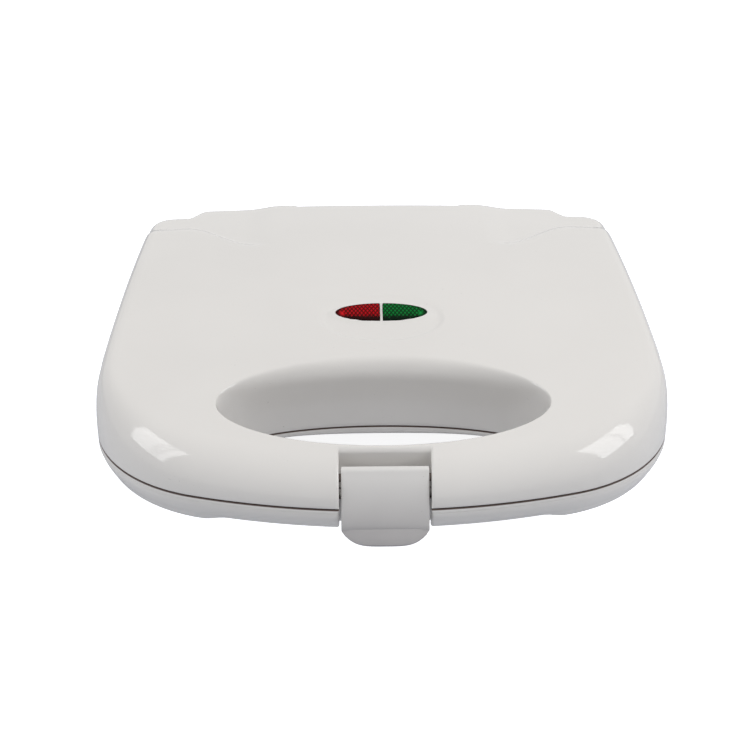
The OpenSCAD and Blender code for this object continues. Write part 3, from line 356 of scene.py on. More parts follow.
@dataclass(frozen=True)
class LampGlass(Coat):
    """Thin glass of a neon lamp over its pale electrodes."""

    def shade(self, g: Graph) -> Material:
        """Builds the material."""
        cloud = g.noise(700, 3)
        return g.finish(Base_Color=g.blend(g.fit(cloud, 0.35, 0.65), self.colour, scaled(self.colour, 1.3, 0.1)),
                        Roughness=g.fit(cloud, 0.3, 0.7, 0.05, 0.12), Transmission_Weight=0.6,
                        Normal=g.bump(g.noise(300, 1), 0.00004))


class Finish(Enum):
    """The finishes of the toaster."""

    # The shell gets painted shade in its seam, and the latch gets painted shade towards its bottom.
    SHELL = MouldedPlastic("shell_white_gloss", (0.745, 0.728, 0.708), seam_shade_z=0.042)
    LATCH = MouldedPlastic("latch_white_gloss", (0.70, 0.688, 0.675), 0.16, 0.06, painted_shade_z=(0.0362, 0.0520))
    FRAME = MouldedPlastic("frame_white_satin", (0.70, 0.69, 0.67), 0.38, 0.06, 0.00004)
    PLATE = NonStickCoating("non_stick_black", (0.016, 0.016, 0.018))
    HEATER = RolledMetal("heater_tube_steel", (0.30, 0.27, 0.25), 0.42, 0.45)
    SHEET = RolledMetal("aluminised_sheet", (0.62, 0.62, 0.62), 0.34, 0.1)
    FASTENER = RolledMetal("plated_steel", (0.60, 0.61, 0.63), 0.24)
    CERAMIC = SteatiteCeramic("steatite_ceramic", (0.78, 0.75, 0.68))
    THERMOSTAT = RolledMetal("thermostat_can", (0.20, 0.18, 0.17), 0.45, 0.2)
    SLEEVE = BraidedSleeve("wire_braid", (0.74, 0.70, 0.60))
    CONDUIT = BraidedSleeve("conduit_braid", (0.16, 0.16, 0.17), 0.0016)
    PIN = RolledMetal("dark_pin_steel", (0.16, 0.13, 0.12), 0.4)
    RUBBER = MouldedRubber("black_rubber", (0.022, 0.022, 0.024))
    RED = TintedLens("red_lens", (0.50, 0.002, 0.007), (0.012, 0.001, 0.001))
    GREEN = TintedLens("green_lens", (0.001, 0.19, 0.032), (0.001, 0.008, 0.003))
    LAMP = LampGlass("lamp_glass", (0.85, 0.62, 0.50))

    def made(self) -> Material:
        """The material of this finish, built once."""
        if self not in MADE:
            MADE[self] = self.value.shade(Graph(self.value.name))
        return MADE[self]


MADE: dict[Finish, Material] = {}


class Body(Enum):
    """The bodies of the toaster that a piece can ride on."""

    BASE = "base"
    LID = "lid"
    LATCH = "latch"


# ------------------------------------------------------------------ mesh helpers


def verts_of(geom: Iterable) -> list[BMVert]:
    """The vertices among what an operator gives back."""
    return [g for g in geom if isinstance(g, BMVert)]


def edges_of(geom: Iterable) -> list[BMEdge]:
    """The edges among what an operator gives back."""
    return [g for g in geom if isinstance(g, BMEdge)]


def move(bm: BMesh, matrix: Matrix) -> None:
    """Moves, turns or scales a whole mesh."""
    bmesh.ops.transform(bm, matrix=matrix, verts=bm.verts)


def face_up(bm: BMesh, sign: int = 1) -> None:
    """Makes the faces agree and turns them so that most look up, or down with sign -1."""
    bmesh.ops.recalc_face_normals(bm, faces=bm.faces)
    if sum(f.normal.z * f.calc_area() for f in bm.faces) * sign < 0:
        bmesh.ops.reverse_faces(bm, faces=bm.faces)


def round_edges(bm: BMesh, edges: Iterable, width: float, segments: int = 3) -> None:
    """Rounds edges with a circular bevel of this width."""
    bmesh.ops.bevel(bm, geom=list(edges), offset=width, offset_type="OFFSET", segments=segments,
                    profile=0.5, affect="EDGES", clamp_overlap=True, material=-1)


def sharp_edges(bm: BMesh, degrees: float = 40.0) -> list[BMEdge]:
    """The edges whose two faces meet at more than this angle."""
    return [e for e in bm.edges if len(e.link_faces) == 2 and e.calc_face_angle(0.0) > math.radians(degrees)]


def slice_faces(bm: BMesh, faces: list, co: Sequence[float], no: Sequence[float], **clear: bool) -> None:
    """Cuts some faces along a plane, and drops one side where clear says so."""
    geom = faces + list(dict.fromkeys(e for f in faces for e in f.edges)) \
        + list(dict.fromkeys(v for f in faces for v in f.verts))
    bmesh.ops.bisect_plane(bm, geom=geom, dist=1e-5, plane_co=co, plane_no=no, **clear)


def clip(bm: BMesh, co: Sequence[float], no: Sequence[float]) -> None:
    """Cuts a closed mesh along a plane, keeps the side that its normal points to and closes the cut."""
    cut = bmesh.ops.bisect_plane(bm, geom=bm.verts[:] + bm.edges[:] + bm.faces[:], plane_co=co, plane_no=no,
                                 clear_inner=True)
    bmesh.ops.edgeloop_fill(bm, edges=[e for e in edges_of(cut["geom_cut"]) if e.is_boundary])


def cylinder(r: float, depth: float, segments: int = 48) -> BMesh:
    """An upright cylinder round the origin."""
    bm = bmesh.new()
    bmesh.ops.create_cone(bm, cap_ends=True, segments=segments, radius1=r, radius2=r, depth=depth)
    return bm


def join(bm: BMesh, part: BMesh) -> None:
    """Puts part into bm and frees it."""
    mesh = bpy.data.meshes.new("part")
    part.to_mesh(mesh)
    part.free()
    bm.from_mesh(mesh)
    bpy.data.meshes.remove(mesh)


def add_rod(bm: BMesh, x0: float, x1: float, y: float, z: float, r: float, edge: float = 0.0) -> None:
    """Adds a round rod along X.

    Args:
        bm: Mesh that gets the rod.
        x0: One end.
        x1: Other end.
        y: Place of its axis.
        z: Height of its axis.
        r: Radius.
        edge: Rounding of the end edges.
    """
    rod = cylinder(r, abs(x1 - x0))
    if edge:
        round_edges(rod, sharp_edges(rod), edge)
    move(rod, Matrix.Translation(((x0 + x1) / 2, y, z)) @ Matrix.Rotation(math.pi / 2, 4, "Y"))
    join(bm, rod)


def add_block(bm: BMesh, lo: Sequence[float], hi: Sequence[float], edge: float = 0.0) -> None:
    """Adds a box between two corners, its edges rounded by edge."""
    box = bmesh.new()
    bmesh.ops.create_cube(box, size=1.0)
    move(box, Matrix.Translation([(h + l) / 2 for l, h in zip(lo, hi)])
         @ Matrix.Diagonal([*(h - l for l, h in zip(lo, hi)), 1]))
    round_edges(box, box.edges, edge)
    join(bm, box)


def extrude_ring(bm: BMesh, edges: list[BMEdge], place: Callable[[BMVert], Sequence[float]]) -> list[BMEdge]:
    """Extrudes an open ring of edges once.

    Args:
        bm: The mesh.
        edges: The ring.
        place: Gives a new vertex, which still lies on the old one, its place.

    Returns:
        The new open ring.
    """
    grown = bmesh.ops.extrude_edge_only(bm, edges=edges)["geom"]
    for v in verts_of(grown):
        v.co = place(v)
    return [e for e in edges_of(grown) if len(e.link_faces) == 1]


def level_strip(levels: Sequence[Callable], stations: Sequence) -> BMesh:
    """Extrudes a closed loop of stations from level to level.

    Args:
        levels: One function per level, from a station to its point.
        stations: Places round the outline, in order.

    Returns:
        The open strip.
    """
    bm = bmesh.new()
    bmesh.ops.create_circle(bm, segments=len(stations), radius=1.0)
    number = bm.verts.layers.int.new("station")
    bm.verts.ensure_lookup_table()
    for k, v in enumerate(bm.verts):
        v[number] = k
        v.co = levels[0](stations[k])
    edges = bm.edges[:]
    for level in levels[1:]:
        edges = extrude_ring(bm, edges, lambda v: level(stations[v[number]]))
    return bm


def close_ends(bm: BMesh, axis: int) -> None:
    """Closes the two open rings of a strip, told apart by their place along an axis."""
    rims = [e for e in bm.edges if e.is_boundary]
    middle = sum(e.verts[0].co[axis] for e in rims) / len(rims)
    for far in (False, True):
        bmesh.ops.edgeloop_fill(bm, edges=[e for e in rims if (e.verts[0].co[axis] > middle) == far])


def spin_round(bm: BMesh, axis: Sequence[float], steps: int, merge: float) -> None:
    """Turns a section full round an axis through the origin, and merges points closer than merge."""
    bmesh.ops.spin(bm, geom=bm.verts[:] + bm.edges[:], cent=(0, 0, 0), axis=axis, angle=2 * math.pi,
                   steps=steps, use_merge=True)
    bmesh.ops.remove_doubles(bm, verts=bm.verts, dist=merge)
    bmesh.ops.recalc_face_normals(bm, faces=bm.faces)


def link(name: str, data: bpy.types.ID) -> Object:
    """Puts data into the scene as an object of this name."""
    obj = bpy.data.objects.new(name, data)
    bpy.context.scene.collection.objects.link(obj)
    return obj


def to_object(bm: BMesh, name: str) -> Object:
    """Turns a mesh drawn in mm into an object in metres at the origin."""
    move(bm, Matrix.Scale(MM, 4))
    mesh = bpy.data.meshes.new(name)
    bm.to_mesh(mesh)
    bm.free()
    return link(name, mesh)


def cut_boolean(obj: Object, cutter: BMesh) -> None:
    """Takes the shapes in cutter, in mm, away from an object's mesh."""
    tool = to_object(cutter, "cutter")
    cut = obj.modifiers.new("cut", "BOOLEAN")
    cut.operation, cut.solver, cut.object = "DIFFERENCE", "EXACT", tool
    bpy.context.view_layer.update()
    baked = bpy.data.meshes.new_from_object(obj.evaluated_get(bpy.context.evaluated_depsgraph_get()))
    obj.modifiers.clear()
    obj.data = baked
    bpy.data.objects.remove(tool)


def dress(obj: Object, body: Body, finish: Finish, node: str, smooth: float = 34.0) -> None:
    """Gives a piece its finish and its body, and hides the CAD node that it stands for.

    Args:
        obj: The piece.
        body: Body it rides on.
        finish: Its finish.
        node: CAD node that it replaces.
        smooth: Angle in degrees up to which its faces are shaded smooth.
    """
    obj.data.materials.clear()
    obj.data.materials.append(finish.made())
    obj.data.shade_smooth()
    obj.data.set_sharp_from_angle(angle=math.radians(smooth))
    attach(obj, body.value)
    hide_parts(node)
    log.info("%s: %d faces", obj.name, len(obj.data.polygons))


# ------------------------------------------------------------------ common form of both halves


@dataclass(frozen=True)
class Station:
    """A place on the outline, with the direction that points out of the body there."""

    x: float
    y: float
    nx: float
    ny: float


Level = Callable[[Station], Vector]


@dataclass
class Form:
    """Outline, top, underside and handle opening, which both halves share. All sizes in mm."""

    half_w: float = 113.5
    front_y: float = -106.8
    rear_y: float = 97.5
    hinge_y: float = 107.5
    split_z: float = 42.0
    gap: float = 0.15
    wall: float = 2.2
    front_r: float = 244.0
    corner_r: float = 60.0
    rear_r: float = 14.0
    side_taper: float = 3.6
    rear_step: float = 8.0
    hump_step: float = 1.7
    rear_step_half: float = 84.0
    hump_in: float = 38.5
    rim_proud: float = 1.5
    rim_front_y: float = -31.0
    rim_rear_y: float = 81.0
    rim_ramp: float = 2.5
    rim_h: float = 4.0
    peak_z: float = 80.0
    peak_y: float = 53.5
    front_drop: float = 26.0
    drop_reach: float = 160.0
    drop_power: float = 2.2
    crown: float = 3.0
    base_z: float = 4.5
    open_a: float = 62.5
    open_b: float = 20.5
    open_y: float = -67.0
    open_back: float = 39.8
    open_steep: Pair = (3.5, 5.0)
    open_fall: Pair = (5.0, 8.0)
    open_ease: float = 1.2
    lens_y: float = -13.0
    lens_half: Pair = (18.5, 6.3)
    dish_y: float = -16.5
    dish_half: Pair = (25.6, 16.4)
    dish_depth: float = 0.8
    crease_y: float = 72.5
    crease_bend: float = 22.0
    shoulder_drop: float = 1.7
    under_cap: float = 31.0
    handle_rise: float = 8.2
    side_fall: float = 1.9
    slope_z: float = 39.2
    slope: float = 0.53
    stations: list[Station] = field(default_factory=list)

    def __post_init__(self) -> None:
        """Works out the arcs of the outline and its stations."""
        front_cy = self.front_y + self.front_r
        corner_x = self.half_w - self.corner_r
        reach = self.front_r - self.corner_r
        self.corner_cy = front_cy - math.sqrt(reach ** 2 - corner_x ** 2)
        turn = math.asin(corner_x / reach)
        right: list[Station] = []

        def arc(cx: float, cy: float, r: float, a0: float, a1: float, n: int) -> None:
            """Adds n stations of an arc, its end left out."""
            for k in range(n):
                a = mix(a0, a1, k / n)
                right.append(Station(cx + r * math.cos(a), cy + r * math.sin(a), math.cos(a), math.sin(a)))

        def run(*stops: Pair) -> list[float]:
            """Values from stop to stop, each stretch with its own step."""
            out = []
            for (a, step), (b, _) in zip(stops, stops[1:]):
                n = max(1, round(abs(b - a) / step))
                out += [mix(a, b, k / n) for k in range(n)]
            return out

        q = math.pi / 2
        arc(0, front_cy, self.front_r, -q, turn - q, 34)
        arc(corner_x, self.corner_cy, self.corner_r, turn - q, 0, 44)
        right += [Station(self.half_w, y, 1, 0) for y in run(
            (self.corner_cy, 1.0), (self.rim_front_y, 0.45), (self.rim_front_y + self.rim_ramp, 2.6),
            (self.rim_rear_y - self.rim_ramp, 0.45), (self.rim_rear_y, 1.2), (self.rear_y - self.rear_r, 1))]
        arc(self.half_w - self.rear_r, self.rear_y - self.rear_r, self.rear_r, 0, q, 12)
        right += [Station(x, self.rear_y, 0, 1) for x in run(
            (self.half_w - self.rear_r, 1.5), (92.5, 0.8), (83.5, 1.9), (self.hump_in + 4.4, 0.45),
            (self.hump_in - 0.4, 1.9), (0, 1))] + [Station(0, self.rear_y, 0, 1)]
        self.stations = right + [Station(-s.x, s.y, -s.nx, s.ny) for s in reversed(right[1:-1])]

    def step_out(self, s: Station) -> float:
        """How far the rear wall with its two hinge humps steps out at a station."""
        if s.ny < 0.99 or s.y < 0:
            return 0.0
        x = abs(s.x)
        inside = 1 - ease(self.rear_step_half, self.rear_step_half + 8, x)
        return inside * (self.rear_step + self.hump_step * ease(self.hump_in, self.hump_in + 4, x))

    def rim_out(self, s: Station) -> float:
        """How far the side rim stands out at a station."""
        if abs(s.nx) < 0.99:
            return 0.0
        return self.rim_proud * ease(self.rim_front_y, self.rim_front_y + self.rim_ramp, s.y) \
            * (1 - ease(self.rim_rear_y - self.rim_ramp, self.rim_rear_y, s.y))

    def inset(self, s: Station, d: float) -> Pair:
        """Point at a station, drawn in from the outline by d."""
        k = self.step_out(s) - d
        y = s.y + k * s.ny
        start = self.rim_front_y + self.rim_ramp
        narrow = self.side_taper / self.half_w * max(0.0, y - start) / (self.rear_y - self.rear_r - start)
        return (s.x + k * s.nx) * (1 - narrow), y

    def dish(self, x: float, y: float) -> float:
        """Depth of the shallow dish round the windows, with a raised collar at their edge."""
        out = math.hypot(x / self.dish_half[0], (y - self.dish_y) / self.dish_half[1])
        near = math.hypot(x / self.lens_half[0], (y - self.lens_y) / self.lens_half[1])
        return self.dish_depth * (1 - ease(0.90, 1.02, out)) * ease(1.06, 1.22, near)

    def shoulder(self, x: float, y: float) -> float:
        """Drop of the top towards each rear corner, outside a soft crease."""
        x = abs(x)
        behind = y - self.crease_y + self.crease_bend * ease(88.0, 55.0, x)
        return self.shoulder_drop * ease(46.0, 62.0, x) * ease(-2.5, 3.5, behind)

    def top_z(self, x: float, y: float) -> float:
        """Height of the top surface."""
        return self.peak_z - self.front_drop * (abs(y - self.peak_y) / self.drop_reach) ** self.drop_power \
            - self.crown * (x / (self.half_w + self.rim_proud)) ** 2

    def skin_z(self, x: float, y: float) -> float:
        """Height of the top surface with its dish and creases."""
        return self.top_z(x, y) - self.dish(x, y) - self.shoulder(x, y)

    def lens_place(self) -> Matrix:
        """Place and slope of the windows on the top."""
        rise = self.front_drop * self.drop_power / self.drop_reach \
            * (abs(self.lens_y - self.peak_y) / self.drop_reach) ** (self.drop_power - 1)
        return Matrix.Translation((0, self.lens_y, self.top_z(0, self.lens_y))) \
            @ Matrix.Rotation(math.atan(rise), 4, "X")

    def under_z(self, x: float, y: float) -> float:
        """Height of the underside: flat base, slope up to the handle, lip behind the opening."""
        near = (1 - ease(43.75, 68.75, abs(x))) * ease(self.open_y - 6.83, self.open_y + 6.83, y)
        beside = ease(58.0, 68.0, abs(x)) * (1 - ease(-50.0, -5.0, y))
        cap = self.under_cap + self.handle_rise * near - self.side_fall * beside
        slope = self.slope_z - self.slope * (y - (self.open_y + self.open_b))
        return max(self.base_z, soft_max(self.base_z, soft_min(cap, slope, 2.0), 3.0))

    def open_angle(self, s: Station) -> float:
        """Direction round the opening that belongs to a station, in radians."""
        reach = self.rear_y - self.open_y if s.y > self.open_y else self.open_back
        return math.atan2((s.y - self.open_y) / reach, s.x / self.half_w)

    def open_xy(self, t: float, grow: float, blend: float) -> Pair:
        """Point of the opening's edge at angle t, grown, and blended into the top by its rounding."""
        reach = mix(self.open_ease, self.open_steep[math.sin(t) > 0], abs(math.sin(t)))
        return ((self.open_a + grow + self.open_ease * blend) * math.cos(t),
                self.open_y + (self.open_b + grow + reach * blend) * math.sin(t))

    def open_edge(self, grow: float, blend: float = 0) -> Callable[[Station], Pair]:
        """Gives each station its point of the opening's edge."""
        return lambda s: self.open_xy(self.open_angle(s), grow, blend)

    def open_drop(self, t: float) -> float:
        """How deep the rounding into the opening falls at angle t."""
        return mix(*self.open_fall, (1 + math.sin(t)) / 2)


# ------------------------------------------------------------------ moulded halves


@dataclass
class MouldedHalf:
    """What the upper and the lower moulded half have in common."""

    form: Form
    body: Body
    node: str
    sign: int
    notch_back: float
    notch_half: float = 16.8
    notch_wall: float = 1.0
    edge_r: float = 0.9
    back_r: float = 2.0
    cross: tuple[float, ...] = (0.06, 0.2, 0.45, 0.9, 1.4, 2.0)
    fillet: tuple[Triple, ...] = ((3.6, 0.93, 0), (4.0, 0.68, 0), (4.4, 0.3, 0), (4.75, 0.07, 0))
    rim_steps: tuple[Pair, ...] = ((0.5, 0), (0.26, 0.1), (0.15, 0.32))
    knuckles: tuple[Pair, ...] = ((50.5, 65.5),)
    ears: tuple[Pair, ...] = ((42.1, 50.1), (65.9, 73.9))
    barrel_r: float = 5.0

    def outer_levels(self) -> list[Level]:
        """The levels of the outside, from the rim round to the opening's edge."""
        raise NotImplementedError

    def inner_levels(self) -> list[Level]:
        """The levels of the inside, from the rim round to the opening's edge."""
        raise NotImplementedError

    def edge_point(self, s: Station, a: float, shrink: float, out: float) -> Triple:
        """Point of the rounded outer edge.

        Args:
            s: The station.
            a: Angle from 0 at the rim to 90 at the end of the rounding.
            shrink: How far inside the skin the point lies.
            out: How far it stands out beyond the outline.

        Returns:
            The point.
        """
        raise NotImplementedError

    def angle_at(self, s: Station, rise: float) -> float:
        """The angle at which the rounded edge stands this far from the split."""
        raise NotImplementedError

    def holes(self) -> BMesh:
        """Shapes taken away from the shell."""
        raise NotImplementedError

    def extras(self, bm: BMesh) -> None:
        """Adds the shapes that stand on the shell."""
        raise NotImplementedError

    def rim_z(self) -> float:
        """Height of the rim where the halves meet."""
        return self.form.split_z + self.sign * self.form.gap

    def edge(self, u: float) -> Level:
        """A level of the rounded edge, u from 0 at the rim's fillet to 1."""
        start = self.form.rim_h + 1
        return lambda s: Vector(self.edge_point(s, mix(self.angle_at(s, start), 90, u), 0, 0))

    def upright(self, rise: float, at: Callable[[Station], Pair]) -> Level:
        """A level this far from the split, with its place in the plane given by at."""
        return lambda s: Vector((*at(s), self.form.split_z + self.sign * rise))

    def walls(self, *steps: Pair) -> list[Level]:
        """Levels of the opening's wall: how far from the split, and how far grown."""
        return [self.upright(rise, self.form.open_edge(grow)) for rise, grow in steps]

    @staticmethod
    def spread(u: float, start: Callable, end: Callable, height: Callable) -> Level:
        """A level between two edges.

        Args:
            u: Share of the way.
            start: Gives a station its point on the outer edge.
            end: Gives a station its point on the opening's edge.
            height: Gives the height at x and y.

        Returns:
            The level.
        """
        def at(s: Station) -> Vector:
            """The point at a station."""
            x, y = between(start(s), end(s), u)
            return Vector((x, y, height(x, y)))
        return at

    def slice_at(self, bm: BMesh, half: float, back: float) -> None:
        """Adds edges along the sides and the back of the latch's place."""
        for co, no in (((half, 0, 0), (1, 0, 0)), ((-half, 0, 0), (-1, 0, 0)), ((0, back, 0), (0, 1, 0))):
            near = [f for f in bm.faces if abs(f.calc_center_median().x) < self.notch_half + 6
                    and f.calc_center_median().y < self.notch_back + 8]
            slice_faces(bm, near, co, no)

    def cut_notch(self, bm: BMesh, grow: float, soften: bool) -> None:
        """Cuts the place of the latch out of a strip and closes its sides.

        Args:
            bm: The outer or the inner strip.
            grow: How far the cut stands outside the latch's place.
            soften: Whether the cut's edges are rounded.
        """
        half, back = self.notch_half + grow, self.notch_back + grow * self.notch_wall / 2
        for d in (*self.cross, 0.0) if soften else (0.0,):
            self.slice_at(bm, half + d, back + d)
        gone = [f for f in bm.faces if abs(f.calc_center_median().x) < half - 1e-4
                and f.calc_center_median().y < back - 1e-4]
        bmesh.ops.delete(bm, geom=gone, context="FACES")
        if soften:
            self.soften(bm, half, back)
        rim = self.rim_z()
        corners = []
        for sx in (1, -1):
            chain = [e for e in bm.edges if e.is_boundary
                     and all(abs(v.co.x - sx * half) < 1e-3 and v.co.y < back + 1e-3 for v in e.verts)]
            ends = list(dict.fromkeys(v for e in chain for v in e.verts))
            front = min((v for v in ends if abs(v.co.z - rim) < 1e-3), key=lambda v: v.co.y)
            top = min(ends, key=lambda v: abs(v.co.y - back) * 100 + abs(v.co.z - front.co.z) * -0.01)
            foot = bmesh.ops.create_vert(bm, co=(sx * half, back, rim))["vert"][0]
            sides = bmesh.ops.contextual_create(bm, geom=[front, foot])["edges"] \
                + bmesh.ops.contextual_create(bm, geom=[foot, top])["edges"]
            bmesh.ops.edgeloop_fill(bm, edges=chain + sides)
            corners.append((foot, sides[1]))
        across = [e for e in bm.edges if e.is_boundary
                  and all(abs(v.co.y - back) < 1e-3 and abs(v.co.x) < half + 1e-3
                          and abs(v.co.z - rim) > 1e-3 for v in e.verts)]
        base = bmesh.ops.contextual_create(bm, geom=[corners[0][0], corners[1][0]])["edges"]
        bmesh.ops.edgeloop_fill(bm, edges=across + [c[1] for c in corners if c[1] not in across] + base)

    def soften(self, bm: BMesh, half: float, back: float) -> None:
        """Rounds the edges of the latch's place by drawing the skin in towards them."""
        bm.normal_update()
        moves = []
        for v in bm.verts:
            side, rear = abs(v.co.x) - half, v.co.y - back
            if rear > self.back_r or side > self.edge_r or abs(v.co.z - self.rim_z()) < 0.4:
                continue
            e, r, n = rear, self.back_r, Vector((0, 0, math.copysign(1, v.normal.z)))
            if rear > 0 and side >= 1e-4:
                e = math.hypot(side / self.edge_r, rear / self.back_r) * self.back_r
            elif rear <= -1e-4 or side >= 1e-4:
                near = ease(4.0, 0.0, -rear)
                r = mix(self.edge_r, self.back_r, near)
                e = side * r / self.edge_r
                n = Vector((0, v.normal.y * (1 - near), v.normal.z)).normalized()
            if -1e-3 <= e < r:
                moves.append((v, n * (r - math.sqrt(max(0.0, r * r - (r - max(e, 0.0)) ** 2)))))
        for v, shift in moves:
            v.co -= shift

    def shell(self) -> BMesh:
        """The hollow moulding: outside, inside and the flat rims between them."""
        f = self.form
        outer, inner = (level_strip(levels, f.stations) for levels in (self.outer_levels(), self.inner_levels()))
        face_up(outer, self.sign)
        self.cut_notch(outer, 0.0, True)
        self.cut_notch(inner, f.wall, False)
        join(outer, inner)
        rim = self.rim_z()
        flat = [e for e in outer.edges if e.is_boundary and all(abs(v.co.z - rim) < 1e-3 for v in e.verts)]

        def of_opening(e: BMEdge) -> bool:
            """Whether a rim edge belongs to the opening."""
            c = (e.verts[0].co + e.verts[1].co) / 2
            return math.hypot(c.x / (f.open_a + 2.45), (c.y - f.open_y) / (f.open_b + 2.45)) < 1
        for rims in ([e for e in flat if of_opening(e)], [e for e in flat if not of_opening(e)]):
            bmesh.ops.triangle_fill(outer, use_beauty=True, use_dissolve=False, edges=rims)
        bmesh.ops.recalc_face_normals(outer, faces=outer.faces)
        log.info("%s: %d open edges", self.node, sum(1 for e in outer.edges if not e.is_manifold))
        return outer

    def add_barrels(self, bm: BMesh, spans: Sequence[Pair], spare: float = 0.0, room: float = 0.0,
                    edge: float = 0.5) -> None:
        """Adds barrels of the hinge, or the larger pockets for them, on both sides.

        Args:
            bm: Mesh that gets them.
            spans: Their ends along X.
            spare: How much longer they are at each end.
            room: How much larger their radius is.
            edge: Rounding of their ends.
        """
        for sx in (-1, 1):
            for a, b in spans:
                add_rod(bm, sx * (a - spare), sx * (b + spare), self.form.hinge_y, self.form.split_z,
                        self.barrel_r + room, edge)

    def cutters(self, pockets: Sequence[Pair], channel_half: float, channel_r: float) -> BMesh:
        """Pockets for the other half's barrels, and the channel of the sleeve along the hinge."""
        bm = bmesh.new()
        self.add_barrels(bm, pockets, 0.4, 0.6, 0)
        add_rod(bm, -channel_half, channel_half, self.form.hinge_y, self.form.split_z, channel_r)
        return bm

    def build(self) -> None:
        """Builds and dresses the half."""
        obj = to_object(self.shell(), type(self).__name__)
        cut_boolean(obj, self.holes())
        bm = bmesh.new()
        self.extras(bm)
        move(bm, Matrix.Scale(MM, 4))
        bm.from_mesh(obj.data)
        bm.to_mesh(obj.data)
        bm.free()
        dress(obj, self.body, Finish.SHELL, self.node)


@dataclass
class UpperHousing(MouldedHalf):
    """Upper moulded half with the latch's place, the hinge knuckles and the hole of the windows."""

    body: Body = Body.LID
    node: str = "upper_housing"
    sign: int = 1
    notch_back: float = -91.5
    side_edge: float = 9.5
    front_edge: float = 13.5
    inner_end: float = 62.0

    def edge_form(self, s: Station) -> Pair:
        """Width and power of the rounded edge at a station, from round the handle to the sides."""
        side = ease(self.form.front_y + 27, self.form.corner_cy, s.y)
        return mix(self.front_edge, self.side_edge, side), mix(2.35, 2.8, side)

    def edge_point(self, s: Station, a: float, shrink: float, out: float) -> Triple:
        """Point of the rounded top edge."""
        f = self.form
        w, p = self.edge_form(s)
        a = math.radians(a)
        x, y = f.inset(s, shrink + w * (1 - max(0.0, math.cos(a)) ** (2 / p)) - out)
        top = f.skin_z(x, y) if shrink == 0 else f.top_z(x, y)
        return x, y, f.split_z + max(f.gap, (top - shrink - f.split_z) * math.sin(a) ** (2 / p))

    def angle_at(self, s: Station, rise: float) -> float:
        """The angle at which the top edge stands this far above the split."""
        f = self.form
        return math.degrees(math.asin((rise / (f.skin_z(*f.inset(s, 2)) - f.split_z))
                                      ** (self.edge_form(s)[1] / 2)))

    def outer_levels(self) -> list[Level]:
        """The levels of the outside, from the rim over the top to the opening's edge."""
        f = self.form

        def band(rise: float, share: float, draw: float) -> Level:
            """A level of the side rim and its fillet."""
            def at(s: Station) -> Vector:
                """The point at a station."""
                x, y, z = self.edge_point(s, self.angle_at(s, rise), 0, f.rim_out(s) * share - draw)
                return Vector((x, y, f.split_z + rise if rise < 1 else z))
            return at

        def fall(b: float) -> Level:
            """A level of the rounding into the opening."""
            def at(s: Station) -> Vector:
                """The point at a station."""
                t = f.open_angle(s)
                x, y = f.open_xy(t, 0, 1 - math.sin(b))
                return Vector((x, y, f.top_z(x, y) - f.open_drop(t) * (1 - math.cos(b))))
            return at
        groove = ((0.15, 1, 0.95), (0.42, 1, 0.95), (0.5, 1, 0.14), (0.75, 1, 0), (1.6, 1, 0), (3.1, 1, 0))
        shares = [k / 34 * 0.55 for k in range(1, 34)] + [0.55 + 0.45 * k / 48 for k in range(48)]
        return [band(*step) for step in groove + self.fillet] + [self.edge(k / 15) for k in range(16)] \
            + [self.spread(u, lambda s: f.inset(s, self.edge_form(s)[0]), f.open_edge(0, 1), f.skin_z)
               for u in shares] \
            + [fall(math.pi / 2 * k / 11) for k in range(12)] \
            + self.walls((6, 0), (2, 0), *self.rim_steps)

    def inner_levels(self) -> list[Level]:
        """The levels of the inside, from the rim over the top to the opening's edge."""
        f = self.form

        def edge(a: float) -> Level:
            """A level of the rounded edge's inside."""
            def at(s: Station) -> Vector:
                """The point at a station."""
                x, y, z = self.edge_point(s, a, f.wall, 0)
                return Vector((x, y, max(z, f.split_z + 3.6)))
            return at

        def head(s: Station) -> Vector:
            """The upper end of the inside of the opening's wall."""
            t = f.open_angle(s)
            return Vector((*f.open_xy(t, f.wall, 0), f.top_z(*f.open_xy(t, 0, 1)) - f.open_drop(t) - 1.1))
        return [self.upright(rise, lambda s: f.inset(s, f.wall)) for rise in (f.gap, 3.1)] \
            + [edge(a) for a in (34, 50, self.inner_end)] \
            + [self.spread(k / 5, lambda s: self.edge_point(s, self.inner_end, f.wall, 0), f.open_edge(f.wall),
                           lambda x, y: f.top_z(x, y) - f.wall) for k in range(1, 6)] \
            + [head] + self.walls((f.gap, f.wall))

    def holes(self) -> BMesh:
        """Shapes taken away: pockets of the ears, sleeve channel and the two window holes."""
        bm = self.cutters(self.ears, 32, 4.6)
        for sx in (-1, 1):
            hole = cylinder(1, 6.6, 96)
            move(hole, Matrix.Translation((0, 0, -1.1)) @ Matrix.Diagonal((18.75, 6.55, 1, 1)))
            clip(hole, (sx * 0.5, 0, 0), (sx, 0, 0))
            bmesh.ops.recalc_face_normals(hole, faces=hole.faces)
            move(hole, self.form.lens_place())
            join(bm, hole)
        return bm

    def extras(self, bm: BMesh) -> None:
        """Adds the knuckles."""
        self.add_barrels(bm, self.knuckles)


